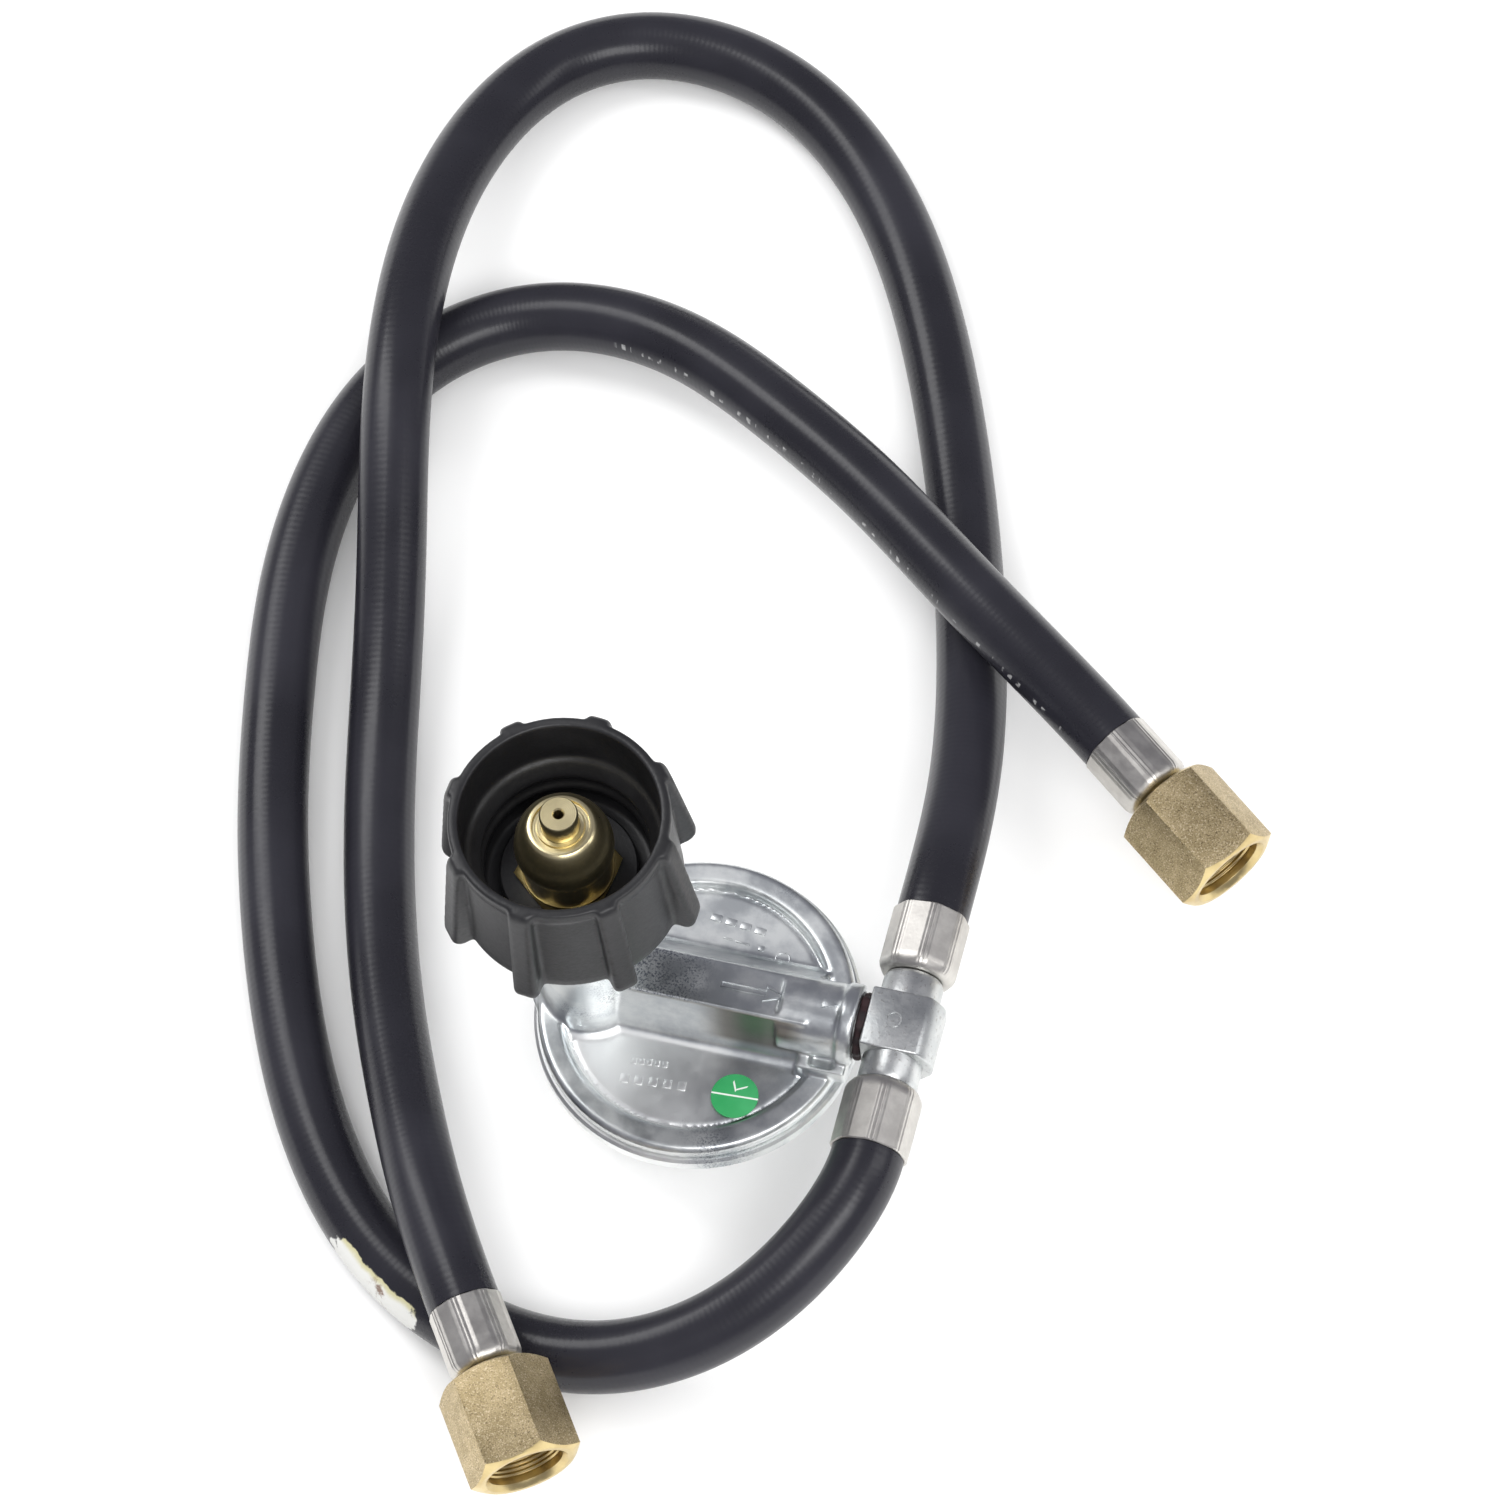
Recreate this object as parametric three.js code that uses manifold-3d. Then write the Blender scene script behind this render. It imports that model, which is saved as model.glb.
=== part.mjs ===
// Low-pressure gas regulator with two hoses, as a three.js scene graph of closed solids.
// Millimetres, +Z up. The origin is the centre of the closing cap's flat underside, on the axis of the
// regulator's round body. +X is the outlet's axis. The assembly lies on the cap and on its hoses.
import * as THREE from "three";
import { NURBSCurve } from "three/addons/curves/NURBSCurve.js";
import { mergeVertices } from "three/addons/utils/BufferGeometryUtils.js";
import Module from "manifold-3d";

const wasm = await Module();
wasm.setup();

// ---------------------------------------------------------------- driving dimensions

const GAP = 0.3; // between pieces that touch
const ROUND = 36; // sides of a plain round piece
const FINE = 48; // sides of a large round piece

// Round body, on the Z axis
const RIM_TOP = 26;
const RIM_RADIUS = 33;
const RIM_UNDER = 22.8;
const RIM_INNER = 28.2;
const PLATE_TOP = 24.5;
const PLATE_UNDER = 23.2;
const FLANGE_RADIUS = 34;
const FLANGE_UNDER = 18.8;

// Ridge over the body, along X, hollow for the valve
const OUTLET_Z = 32.5;
const RIDGE_TOP = 39;
const RIDGE_HALF = 5;
const RIDGE_FRONT_FOOT = 7.2;
const RIDGE_BACK_FOOT = 13.5;
const RIDGE_START = -16;
const RIDGE_END = 25;
const CAVITY_START = -7.2;
const CAVITY_HALF = 3.6;
const CAVITY_TOP = 36.6;

// Outlet boss, its side lugs and its thread
const BOSS_RADIUS = 7.8;
const BOSS_END = 34.3;
const LUG_HALF = 9.4;
const LUG_TOP = 28.6;
const OUTLET_THREAD_RADIUS = 6;

// Inlet neck and coupling, on a vertical axis at INLET_X
const INLET_X = -22.5;
const NECK_RADIUS = 9.7;
const NECK_TOP = 72.2;
const STEM_RADIUS = 6.6;
const NUT_BASE = 72.5;
const NUT_RIM = 103.5;
const NUT_RADIUS = 22.15;
const NUT_BASE_RADIUS = 23;
const NUT_BORE_RADIUS = 20;
const NUT_BORE_FLOOR = 89.5;
const NUT_THREAD_RADIUS = 16.7;
const NUT_WEB_TOP = 77;
const NUT_HOLE_RADIUS = 10.3;
const RIB_COUNT = 8;
const RIB_REACH = 27;
const RIB_WIDTH = 4.6;
const RIB_FIRST_ANGLE = 40;
const NIPPLE_HEX = 19.05;
const HEX_UNDER = 80.6;
const HEX_TOP = 88.6;
const BULLET_FACE = 99.5;
const TIP_FACE = 104.7;
const TIP_RADIUS = 3.88;

// Tee on the outlet, its run along Y
const TEE_X = 43.5;
const TEE_START = 36.6;
const TEE_FLAT_END = 48.6;
const TEE_END = 51.6;
const TEE_HALF = 6.6;
const TEE_STUB_RADIUS = 6.2;
const BARB_RADIUS = 4.4;

// Hoses and their ends
const HOSE_RADIUS = 7.5;
const HOSE_SIDES = 10;
const HOSE_STEPS = 38;
const TEE_FERRULE_LENGTH = 14;
const END_FERRULE_LENGTH = 14.7;
const FERRULE_RADIUS = 8;
const END_FERRULE_RADIUS = 7.7;
const FERRULE_BORE = 4.8;
const TEE_FERRULE_START = 12.4;
const FLARE_HEX = 20.8;
const FLARE_LENGTH = 21.5;
const FLARE_BORE = 7.9;
const FLARE_HOLE = 5.6;
const FLARE_WALL = 3;
const FLARE_OFFSET = END_FERRULE_LENGTH + GAP + 0.9;

// Diaphragm, valve and lever
const PIVOT_X = 9;
const PIVOT_Z = 27.5;
const PIN_RADIUS = 1.2;
const FORK_Z = 27.4;
const HOLDER_RADIUS = 2.7;
const SPRING_RADIUS = 7;

// Centreline control points of each hose, from the tee to its end ferrule
const HOSE_A_ROUTE = [
  [43.5, 27, 32.5],
  [43.5, 35, 32.5],
  [43, 50, 28.5],
  [40, 73, 20],
  [34, 99, 13],
  [26, 126, 9],
  [17, 151, 7.6],
  [6, 177, 7.6],
  [-8, 202, 7.6],
  [-27, 223, 7.6],
  [-50, 235, 7.6],
  [-74, 236, 7.6],
  [-93, 225, 8.5],
  [-104, 203, 12],
  [-107, 174, 18.5],
  [-104, 145, 24.5],
  [-99, 119, 24],
  [-93, 94, 17],
  [-88, 70, 10.5],
  [-83, 45, 7.6],
  [-76, 19, 8],
  [-66, -8, 13],
  [-54, -33, 19.5],
  [-43, -54, 25.8],
  [-33.6, -68.5, 25.8],
  [-29, -75.1, 25.5],
];
const HOSE_B_ROUTE = [
  [43.5, -27.5, 32.5],
  [43.5, -34.5, 32.5],
  [37, -51, 28],
  [20, -68, 18],
  [-4, -77, 10.5],
  [-31, -74, 7.6],
  [-55, -61, 7.6],
  [-73, -40, 7.6],
  [-86, -16, 7.6],
  [-96, 9, 7.6],
  [-104, 34, 7.6],
  [-110, 61, 7.6],
  [-115, 89, 7.6],
  [-114, 118, 7.6],
  [-106, 142, 7.6],
  [-89, 158, 7.6],
  [-68, 163, 10.5],
  [-43, 157, 16.5],
  [-18, 141, 23.5],
  [7, 124, 28.5],
  [30, 105, 30.6],
  [48.5, 92.6, 28.7],
  [63.5, 82.7, 26],
  [69.9, 77.9, 25.3],
];

// ---------------------------------------------------------------- shapes

// A solid of a closed mesh, for cutting and joining.
function solid(geometry) {
  const plain = geometry.clone();
  plain.deleteAttribute("normal");
  plain.deleteAttribute("uv");
  const merged = mergeVertices(plain, 1e-4);
  return new wasm.Manifold(
    new wasm.Mesh({
      numProp: 3,
      vertProperties: merged.attributes.position.array,
      triVerts: new Uint32Array(merged.index.array),
    }),
  );
}

function geometryOf(made) {
  const mesh = made.getMesh();
  const geometry = new THREE.BufferGeometry();
  geometry.setAttribute("position", new THREE.BufferAttribute(mesh.vertProperties, mesh.numProp));
  geometry.setIndex(new THREE.BufferAttribute(mesh.triVerts, 1));
  geometry.computeVertexNormals();
  return geometry;
}

function join(...geometries) {
  return geometryOf(geometries.map(solid).reduce((a, b) => a.add(b)));
}

function cut(base, ...tools) {
  return geometryOf(tools.map(solid).reduce((a, b) => a.subtract(b), solid(base)));
}

function common(a, b) {
  return geometryOf(solid(a).intersect(solid(b)));
}

// A turned piece about Z. The profile lists [radius, height] so that the material is on its left hand
// side as it is walked from the bottom up the outside, and it closes on the axis or on itself.
function turned(profile, sides = ROUND) {
  const first = profile[0];
  const last = profile[profile.length - 1];
  const points = profile.map(([r, z]) => new THREE.Vector2(r, z));
  if (first[0] > 0 || last[0] > 0) points.push(new THREE.Vector2(...first));
  return new THREE.LatheGeometry(points, sides).rotateX(Math.PI / 2);
}

function disc(radius, low, high, sides = ROUND) {
  return turned([[0, low], [radius, low], [radius, high], [0, high]], sides);
}

function tube(inner, outer, low, high, sides = ROUND) {
  return turned([[inner, low], [outer, low], [outer, high], [inner, high]], sides);
}

// A piece made along Z, laid along +X with its z = 0 at the origin.
function alongX(geometry) {
  return geometry.rotateY(Math.PI / 2);
}

function block(x0, x1, y0, y1, z0, z1) {
  const box = new THREE.BoxGeometry(x1 - x0, y1 - y0, z1 - z0);
  return box.translate((x0 + x1) / 2, (y0 + y1) / 2, (z0 + z1) / 2);
}

// A flat outline in X and Z, extruded along Y from -half to +half.
function slabAcrossY(outline, half) {
  const shape = new THREE.Shape(outline.map(([x, z]) => new THREE.Vector2(x, z)));
  const made = new THREE.ExtrudeGeometry(shape, { depth: 2 * half, bevelEnabled: false });
  return made.rotateX(Math.PI / 2).translate(0, half, 0);
}

// A flat outline in Y and Z, extruded along X.
function slabAlongX(outline, x0, x1) {
  const shape = new THREE.Shape(outline.map(([y, z]) => new THREE.Vector2(y, z)));
  const made = new THREE.ExtrudeGeometry(shape, { depth: x1 - x0, bevelEnabled: false });
  return made.rotateX(Math.PI / 2).rotateZ(Math.PI / 2).translate(x0, 0, 0);
}

// A hexagonal prism along Z whose corners are turned off at both ends.
function hexagon(acrossFlats, low, high, chamfer) {
  const corner = acrossFlats / Math.sqrt(3);
  const prism = disc(corner, low, high, 6);
  const barrel = turned(
    [
      [0, low],
      [corner - chamfer * 1.7, low],
      [corner + 0.1, low + chamfer],
      [corner + 0.1, high - chamfer],
      [corner - chamfer * 1.7, high],
      [0, high],
    ],
    ROUND,
  );
  return common(prism, barrel);
}

// A round wire wound about Z, its ends cut square.
class Helix extends THREE.Curve {
  constructor(radius, low, high, turns) {
    super();
    Object.assign(this, { radius, low, high, turns });
  }
  getPoint(t, target = new THREE.Vector3()) {
    const angle = 2 * Math.PI * this.turns * t;
    const height = THREE.MathUtils.lerp(this.low, this.high, t);
    return target.set(this.radius * Math.cos(angle), this.radius * Math.sin(angle), height);
  }
}

function sweep(curve, radius, sides, steps) {
  const section = new THREE.Shape();
  for (let i = 0; i < sides; i++) {
    const angle = (2 * Math.PI * i) / sides;
    const [x, y] = [radius * Math.cos(angle), radius * Math.sin(angle)];
    if (i) section.lineTo(x, y);
    else section.moveTo(x, y);
  }
  return new THREE.ExtrudeGeometry(section, { steps, extrudePath: curve, bevelEnabled: false });
}

function spring(radius, wire, low, high, turns) {
  return sweep(new Helix(radius, low, high, turns), wire, 6, turns * 12);
}

// The clamped cubic spline that a hose follows.
function hoseCurve(route) {
  const inner = route.length - 4;
  const knots = [0, 0, 0, 0];
  for (let i = 1; i <= inner; i++) knots.push(i);
  for (let i = 0; i < 4; i++) knots.push(inner + 1);
  return new NURBSCurve(3, knots, route.map((p) => new THREE.Vector3(...p)));
}

// Where a hose ends, and the way it points there.
function hoseEnd(route) {
  const [before, end] = route.slice(-2).map((p) => new THREE.Vector3(...p));
  return { end, way: end.clone().sub(before).normalize() };
}

// ---------------------------------------------------------------- materials

function finish(color, roughness, metalness) {
  return new THREE.MeshStandardMaterial({ color, roughness, metalness });
}

const zinc = finish(0xb9bcc0, 0.3, 1);
const plated = finish(0xa8a6a0, 0.35, 1);
const brass = finish(0xb8924a, 0.4, 1);
const steel = finish(0x9a9a9a, 0.35, 1);
const blackPlastic = finish(0x1b1b1d, 0.5, 0);
const hoseRubber = finish(0x17171a, 0.35, 0);
const softRubber = finish(0x202020, 0.7, 0);
const sealant = finish(0x4a1a1c, 0.6, 0);
const stickerGreen = finish(0x3aa860, 0.5, 0);

const assembly = new THREE.Group();

function add(name, geometry, material, parent = assembly) {
  const mesh = new THREE.Mesh(geometry, material);
  mesh.name = name;
  parent.add(mesh);
  return mesh;
}

// ---------------------------------------------------------------- cast body

function bodyCasting() {
  const plate = turned(
    [
      [0, PLATE_UNDER],
      [RIM_INNER, PLATE_UNDER],
      [RIM_INNER + 0.8, RIM_UNDER],
      [RIM_RADIUS, RIM_UNDER],
      [RIM_RADIUS, RIM_TOP - 0.6],
      [RIM_RADIUS - 0.6, RIM_TOP],
      [RIM_INNER, RIM_TOP],
      [RIM_INNER - 1, PLATE_TOP],
      [0, PLATE_TOP],
    ],
    FINE,
  );
  const ridge = slabAlongX(
    [
      [-RIDGE_FRONT_FOOT, PLATE_UNDER + 0.2],
      [RIDGE_BACK_FOOT, PLATE_UNDER + 0.2],
      [RIDGE_HALF, RIDGE_TOP],
      [-RIDGE_HALF, RIDGE_TOP],
    ],
    RIDGE_START,
    RIDGE_END,
  );
  const neck = turned([
    [0, PLATE_UNDER + 0.1],
    [NECK_RADIUS + 1.6, PLATE_UNDER + 0.1],
    [NECK_RADIUS + 1.6, PLATE_TOP],
    [NECK_RADIUS + 0.2, PLATE_TOP + 3],
    [NECK_RADIUS, NECK_TOP - 1],
    [NECK_RADIUS - 1, NECK_TOP],
    [0, NECK_TOP],
  ]).translate(INLET_X, 0, 0);
  const boss = alongX(disc(BOSS_RADIUS, RIDGE_END - 6, BOSS_END)).translate(0, 0, OUTLET_Z);
  const collar = alongX(disc(BOSS_RADIUS + 0.5, BOSS_END - 2.6, BOSS_END)).translate(0, 0, OUTLET_Z);
  const lugs = block(RIDGE_END - 2, BOSS_END - 0.4, -LUG_HALF, LUG_HALF, PLATE_TOP, LUG_TOP);
  const pocket = (side) => {
    const near = side * (BOSS_RADIUS - 0.6);
    const far = side * (LUG_HALF - 1);
    const [y0, y1] = [near, far].sort((a, b) => a - b);
    return block(RIDGE_END + 2, BOSS_END - 4, y0, y1, LUG_TOP - 2, LUG_TOP + 1);
  };

  const neckThread = disc(STEM_RADIUS + GAP, 58, NECK_TOP + 1).translate(INLET_X, 0, 0);
  const neckBore = disc(4, OUTLET_Z - 3, 59, 24).translate(INLET_X, 0, 0);
  const crossBore = alongX(disc(2.2, INLET_X, CAVITY_START, 24)).translate(0, 0, OUTLET_Z);
  const orificeSeat = alongX(disc(3.3, -10.6, CAVITY_START + 0.1, 24)).translate(0, 0, OUTLET_Z);
  const cavity = block(
    CAVITY_START,
    RIDGE_END - 2,
    -CAVITY_HALF,
    CAVITY_HALF,
    RIM_UNDER - 2,
    CAVITY_TOP,
  );
  const outletBore = alongX(disc(3.5, RIDGE_END - 4, BOSS_END, 24)).translate(0, 0, OUTLET_Z);
  const outletThread = alongX(disc(OUTLET_THREAD_RADIUS + GAP, 27.5, BOSS_END + 1)).translate(0, 0, OUTLET_Z);
  const pinHole = disc(PIN_RADIUS + GAP, -5.6, 5.6, 16)
    .rotateX(Math.PI / 2)
    .translate(PIVOT_X, 0, PIVOT_Z);

  const outside = join(plate, ridge, neck, boss, collar, lugs);
  return cut(
    outside,
    pocket(1),
    pocket(-1),
    neckThread,
    neckBore,
    crossBore,
    orificeSeat,
    cavity,
    outletBore,
    outletThread,
    pinHole,
  );
}

// Raised flow arrow on the ridge, pointing to the outlet, and the round sticker on the plate.
function flowArrow() {
  const [tail, neck, tip] = [5.6, 16.8, 20.4];
  const shape = new THREE.Shape([
    new THREE.Vector2(tail, -0.45),
    new THREE.Vector2(neck, -0.45),
    new THREE.Vector2(neck, -1.3),
    new THREE.Vector2(tip, 0),
    new THREE.Vector2(neck, 1.3),
    new THREE.Vector2(neck, 0.45),
    new THREE.Vector2(tail, 0.45),
  ]);
  const raised = new THREE.ExtrudeGeometry(shape, { depth: 0.7, bevelEnabled: false });
  return raised.translate(0, 0, RIDGE_TOP - 0.4);
}

add("body_casting", join(bodyCasting(), flowArrow()), zinc);
add("qc_sticker", disc(4.9, PLATE_TOP + GAP, PLATE_TOP + GAP + 0.2).translate(12.6, -17.8, 0), stickerGreen);

// ---------------------------------------------------------------- bonnet side

const TOWER_INNER = 10.6;
const TOWER_OUTER = 14.5;
const CAP_TOP = 3;
const VENT_X = -16;
const VENT_Y = -16;

function bonnet() {
  const shell = turned(
    [
      [TOWER_INNER, CAP_TOP + GAP],
      [TOWER_OUTER, CAP_TOP + GAP],
      [TOWER_OUTER, 7.5],
      [16.5, 9],
      [30, 16.5],
      [31, FLANGE_UNDER],
      [FLANGE_RADIUS, FLANGE_UNDER],
      [FLANGE_RADIUS, RIM_UNDER - GAP],
      [31.3, RIM_UNDER - GAP],
      [31.3, RIM_UNDER - 1.7],
      [28.5, RIM_UNDER - 1.7],
      [28.5, 18],
      [14, 11.2],
      [TOWER_INNER, 9.6],
    ],
    FINE,
  );
  const boss = disc(4.2, 9, 14.5, 24).translate(VENT_X, VENT_Y, 0);
  const hole = disc(2.3, 8, 20, 16).translate(VENT_X, VENT_Y, 0);
  return cut(join(shell, boss), hole);
}

add("bonnet", bonnet(), zinc);
add("vent_screen", disc(2, 10.4, 10.9, 16).translate(VENT_X, VENT_Y, 0), steel);
add(
  "bonnet_cap",
  turned(
    [
      [0, 0],
      [14.9, 0],
      [15.5, 0.6],
      [15.5, CAP_TOP],
      [TOWER_INNER - GAP, CAP_TOP],
      [TOWER_INNER - GAP, CAP_TOP + 2.4],
      [0, CAP_TOP + 2.4],
    ],
    FINE,
  ),
  zinc,
);

const SCREW_UNDER = CAP_TOP + 2.8;
const SCREW_TOP = SCREW_UNDER + 2.4;
add(
  "adjusting_screw",
  cut(
    turned([
      [0, SCREW_UNDER],
      [TOWER_INNER - GAP, SCREW_UNDER],
      [TOWER_INNER - GAP, SCREW_TOP],
      [5, SCREW_TOP],
      [5, SCREW_TOP + 1],
      [0, SCREW_TOP + 1],
    ]),
    disc(3, SCREW_UNDER - 1, SCREW_UNDER + 1.4, 6),
  ),
  steel,
);

const DIAPHRAGM_LOW = RIM_UNDER - 1.4;
const PLATE_LOW = DIAPHRAGM_LOW - GAP - 0.9;
add("main_spring", spring(SPRING_RADIUS, 0.7, SCREW_TOP + 1, PLATE_LOW - 1, 5), steel);
add("diaphragm_plate", tube(2.8, 20, PLATE_LOW, PLATE_LOW + 0.9), steel);
add(
  "diaphragm",
  turned(
    [
      [2.8, DIAPHRAGM_LOW],
      [22, DIAPHRAGM_LOW],
      [24.5, DIAPHRAGM_LOW - 1.6],
      [27, DIAPHRAGM_LOW],
      [31, DIAPHRAGM_LOW],
      [31, DIAPHRAGM_LOW + 0.9],
      [27, DIAPHRAGM_LOW + 0.9],
      [24.5, DIAPHRAGM_LOW - 0.7],
      [22, DIAPHRAGM_LOW + 0.9],
      [2.8, DIAPHRAGM_LOW + 0.9],
    ],
    FINE,
  ),
  softRubber,
);
add(
  "diaphragm_stem",
  turned(
    [
      [0, PLATE_LOW - 1.1],
      [4.6, PLATE_LOW - 1.1],
      [4.6, PLATE_LOW - GAP],
      [2.5, PLATE_LOW - GAP],
      [2.5, FORK_Z - 1.2],
      [1.2, FORK_Z - 1.2],
      [1.2, FORK_Z + 1.2],
      [2.5, FORK_Z + 1.2],
      [2.5, FORK_Z + 1.9],
      [0, FORK_Z + 1.9],
    ],
    20,
  ),
  steel,
);

// ---------------------------------------------------------------- lever and valve, inside the ridge

function lever() {
  const arm = slabAcrossY(
    [
      [-1.8, FORK_Z - 0.7],
      [PIVOT_X, FORK_Z - 0.7],
      [PIVOT_X, FORK_Z + 0.7],
      [-1.8, FORK_Z + 0.7],
    ],
    2,
  );
  const fork = block(-2.5, 1.6, -1.5, 1.5, FORK_Z - 1, FORK_Z + 1);
  const finger = block(PIVOT_X - 0.5, PIVOT_X + 0.5, -1, 1, PIVOT_Z, OUTLET_Z);
  const knob = disc(1, -1, 1, 16)
    .rotateX(Math.PI / 2)
    .translate(PIVOT_X, 0, OUTLET_Z);
  const eye = disc(2.2, -2, 2, 20)
    .rotateX(Math.PI / 2)
    .translate(PIVOT_X, 0, PIVOT_Z);
  const hole = disc(PIN_RADIUS + 0.08, -3, 3, 20)
    .rotateX(Math.PI / 2)
    .translate(PIVOT_X, 0, PIVOT_Z);
  return cut(join(arm, finger, knob, eye), fork, hole);
}

add("lever", lever(), steel);
add(
  "lever_pin",
  disc(PIN_RADIUS, -5.3, 5.3, 20)
    .rotateX(Math.PI / 2)
    .translate(PIVOT_X, 0, PIVOT_Z),
  steel,
);
add(
  "valve_holder",
  cut(
    alongX(disc(HOLDER_RADIUS, -4.6, 11.5, 24)).translate(0, 0, OUTLET_Z),
    alongX(disc(2.35, -5, -3.4, 24)).translate(0, 0, OUTLET_Z),
    block(PIVOT_X - 1.3, PIVOT_X + 1.3, -1.3, 1.3, OUTLET_Z - 4, OUTLET_Z + 1.4),
  ),
  brass,
);
add("valve_disc", alongX(disc(2.05, -5, -3.7, 24)).translate(0, 0, OUTLET_Z), softRubber);
add(
  "orifice",
  alongX(
    turned(
      [
        [0.9, -10.3],
        [3, -10.3],
        [3, CAVITY_START],
        [1.7, CAVITY_START],
        [1.5, -6],
        [0.9, -6],
      ],
      24,
    ),
  ).translate(0, 0, OUTLET_Z),
  brass,
);

// ---------------------------------------------------------------- inlet, on its own axis

const inlet = new THREE.Group();
inlet.position.x = INLET_X;
assembly.add(inlet);

function nippleBody() {
  const stem = disc(STEM_RADIUS, 58.5, HEX_UNDER + 0.5);
  const hex = hexagon(NIPPLE_HEX, HEX_UNDER, HEX_TOP, 0.8);
  const bullet = turned([
    [0, HEX_TOP - 1],
    [9.4, HEX_TOP - 1],
    [9.9, HEX_TOP + 1],
    [10, HEX_TOP + 2.6],
    [9.8, HEX_TOP + 4.6],
    [9.1, HEX_TOP + 7],
    [7.9, HEX_TOP + 9.4],
    [6.45, BULLET_FACE],
    [0, BULLET_FACE],
  ]);
  const groove = tube(4.9, 5.8, BULLET_FACE - 0.7, BULLET_FACE + 1);
  const lip = disc(TIP_RADIUS + 0.08, BULLET_FACE - 3, BULLET_FACE + 1);
  const chamber = disc(5.3, 79.6, BULLET_FACE - 2, 24);
  const bore = disc(3, 58, 80, 20);
  return cut(join(stem, hex, bullet), groove, lip, chamber, bore);
}

add("inlet_nipple", nippleBody(), brass, inlet);

const TIP_COLLAR = 94.2;
add(
  "flow_check_tip",
  turned([
    [1, TIP_COLLAR],
    [5, TIP_COLLAR],
    [5, TIP_COLLAR + 3],
    [TIP_RADIUS, TIP_COLLAR + 3],
    [TIP_RADIUS, TIP_FACE - 0.4],
    [TIP_RADIUS - 0.4, TIP_FACE],
    [1, TIP_FACE],
  ]),
  brass,
  inlet,
);
add("flow_check_spring", spring(3.8, 0.45, 80.4, TIP_COLLAR - 0.8, 6), steel, inlet);
add(
  "thermal_bushing",
  turned([
    [STEM_RADIUS + GAP, NUT_BASE + 0.1],
    [NUT_HOLE_RADIUS - 0.4, NUT_BASE + 0.1],
    [NUT_HOLE_RADIUS - 0.4, NUT_WEB_TOP + GAP],
    [14, NUT_WEB_TOP + GAP],
    [14, HEX_UNDER - GAP],
    [STEM_RADIUS + GAP, HEX_UNDER - GAP],
  ]),
  blackPlastic,
  inlet,
);

function couplingNut() {
  const body = turned(
    [
      [NUT_HOLE_RADIUS, NUT_BASE],
      [NUT_BASE_RADIUS - 1, NUT_BASE],
      [NUT_BASE_RADIUS, NUT_BASE + 1],
      [NUT_RADIUS, NUT_RIM - 0.5],
      [NUT_RADIUS - 0.5, NUT_RIM],
      [NUT_BORE_RADIUS, NUT_RIM],
      [NUT_BORE_RADIUS, NUT_BORE_FLOOR],
      [NUT_THREAD_RADIUS, NUT_BORE_FLOOR - 1.5],
      [NUT_THREAD_RADIUS, NUT_WEB_TOP],
      [NUT_HOLE_RADIUS, NUT_WEB_TOP],
    ],
    FINE,
  );
  const ribs = [];
  for (let i = 0; i < RIB_COUNT; i++) {
    const angle = RIB_FIRST_ANGLE + (360 / RIB_COUNT) * i;
    ribs.push(
      slabAcrossY(
        [
          [NUT_RADIUS - 1, NUT_BASE + 0.6],
          [RIB_REACH - 1.6, NUT_BASE + 0.6],
          [RIB_REACH, NUT_BASE + 2.4],
          [RIB_REACH, NUT_BASE + 4],
          [NUT_RADIUS + 1.2, NUT_RIM - 0.6],
          [NUT_RADIUS - 1, NUT_RIM - 0.6],
        ],
        RIB_WIDTH / 2,
      ).rotateZ(THREE.MathUtils.degToRad(angle)),
    );
  }
  return join(body, ...ribs);
}

add("coupling_nut", couplingNut(), blackPlastic, inlet);

// ---------------------------------------------------------------- tee on the outlet

function teeFitting() {
  const forged = slabAcrossY(
    [
      [TEE_START, OUTLET_Z - TEE_HALF],
      [TEE_FLAT_END, OUTLET_Z - TEE_HALF],
      [TEE_END, OUTLET_Z - 3],
      [TEE_END, OUTLET_Z + 3],
      [TEE_FLAT_END, OUTLET_Z + TEE_HALF],
      [TEE_START, OUTLET_Z + TEE_HALF],
    ],
    TEE_HALF,
  );
  const mark = tube(1.3, 1.7, OUTLET_Z + TEE_HALF - 0.2, OUTLET_Z + TEE_HALF + 0.25, 20);
  const male = alongX(disc(OUTLET_THREAD_RADIUS, 28, TEE_START + 1)).translate(0, 0, OUTLET_Z);
  const throughX = alongX(disc(3, 27, TEE_X, 20)).translate(0, 0, OUTLET_Z);
  const branches = [];
  for (const side of [1, -1]) {
    branches.push(
      turned([
        [0, TEE_HALF - 1],
        [TEE_STUB_RADIUS, TEE_HALF - 1],
        [TEE_STUB_RADIUS, TEE_FERRULE_START - GAP],
        [BARB_RADIUS, TEE_FERRULE_START - GAP],
        [BARB_RADIUS, TEE_FERRULE_START + TEE_FERRULE_LENGTH - 0.5],
        [0, TEE_FERRULE_START + TEE_FERRULE_LENGTH - 0.5],
      ])
        .rotateX((-side * Math.PI) / 2)
        .translate(TEE_X, 0, OUTLET_Z),
    );
  }
  const run = disc(3, -30, 30, 20)
    .rotateX(Math.PI / 2)
    .translate(TEE_X, 0, OUTLET_Z);
  return cut(join(forged, male, mark.translate(42.4, 0, 0), ...branches), throughX, run);
}

add(
  "thread_sealant",
  alongX(tube(OUTLET_THREAD_RADIUS + GAP, 7.2, BOSS_END + GAP, TEE_START - GAP)).translate(0, 0, OUTLET_Z),
  sealant,
);
add("tee_fitting", teeFitting(), plated);

// A crimped sleeve, along Z from 0: open at the hose, rounded over at its fitting end.
function ferrule(radius, length) {
  return turned([
    [FERRULE_BORE, 0],
    [radius - 0.3, 0],
    [radius, 0.4],
    [radius, length - 1.6],
    [radius - 1.6, length],
    [FERRULE_BORE, length],
  ]);
}

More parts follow.
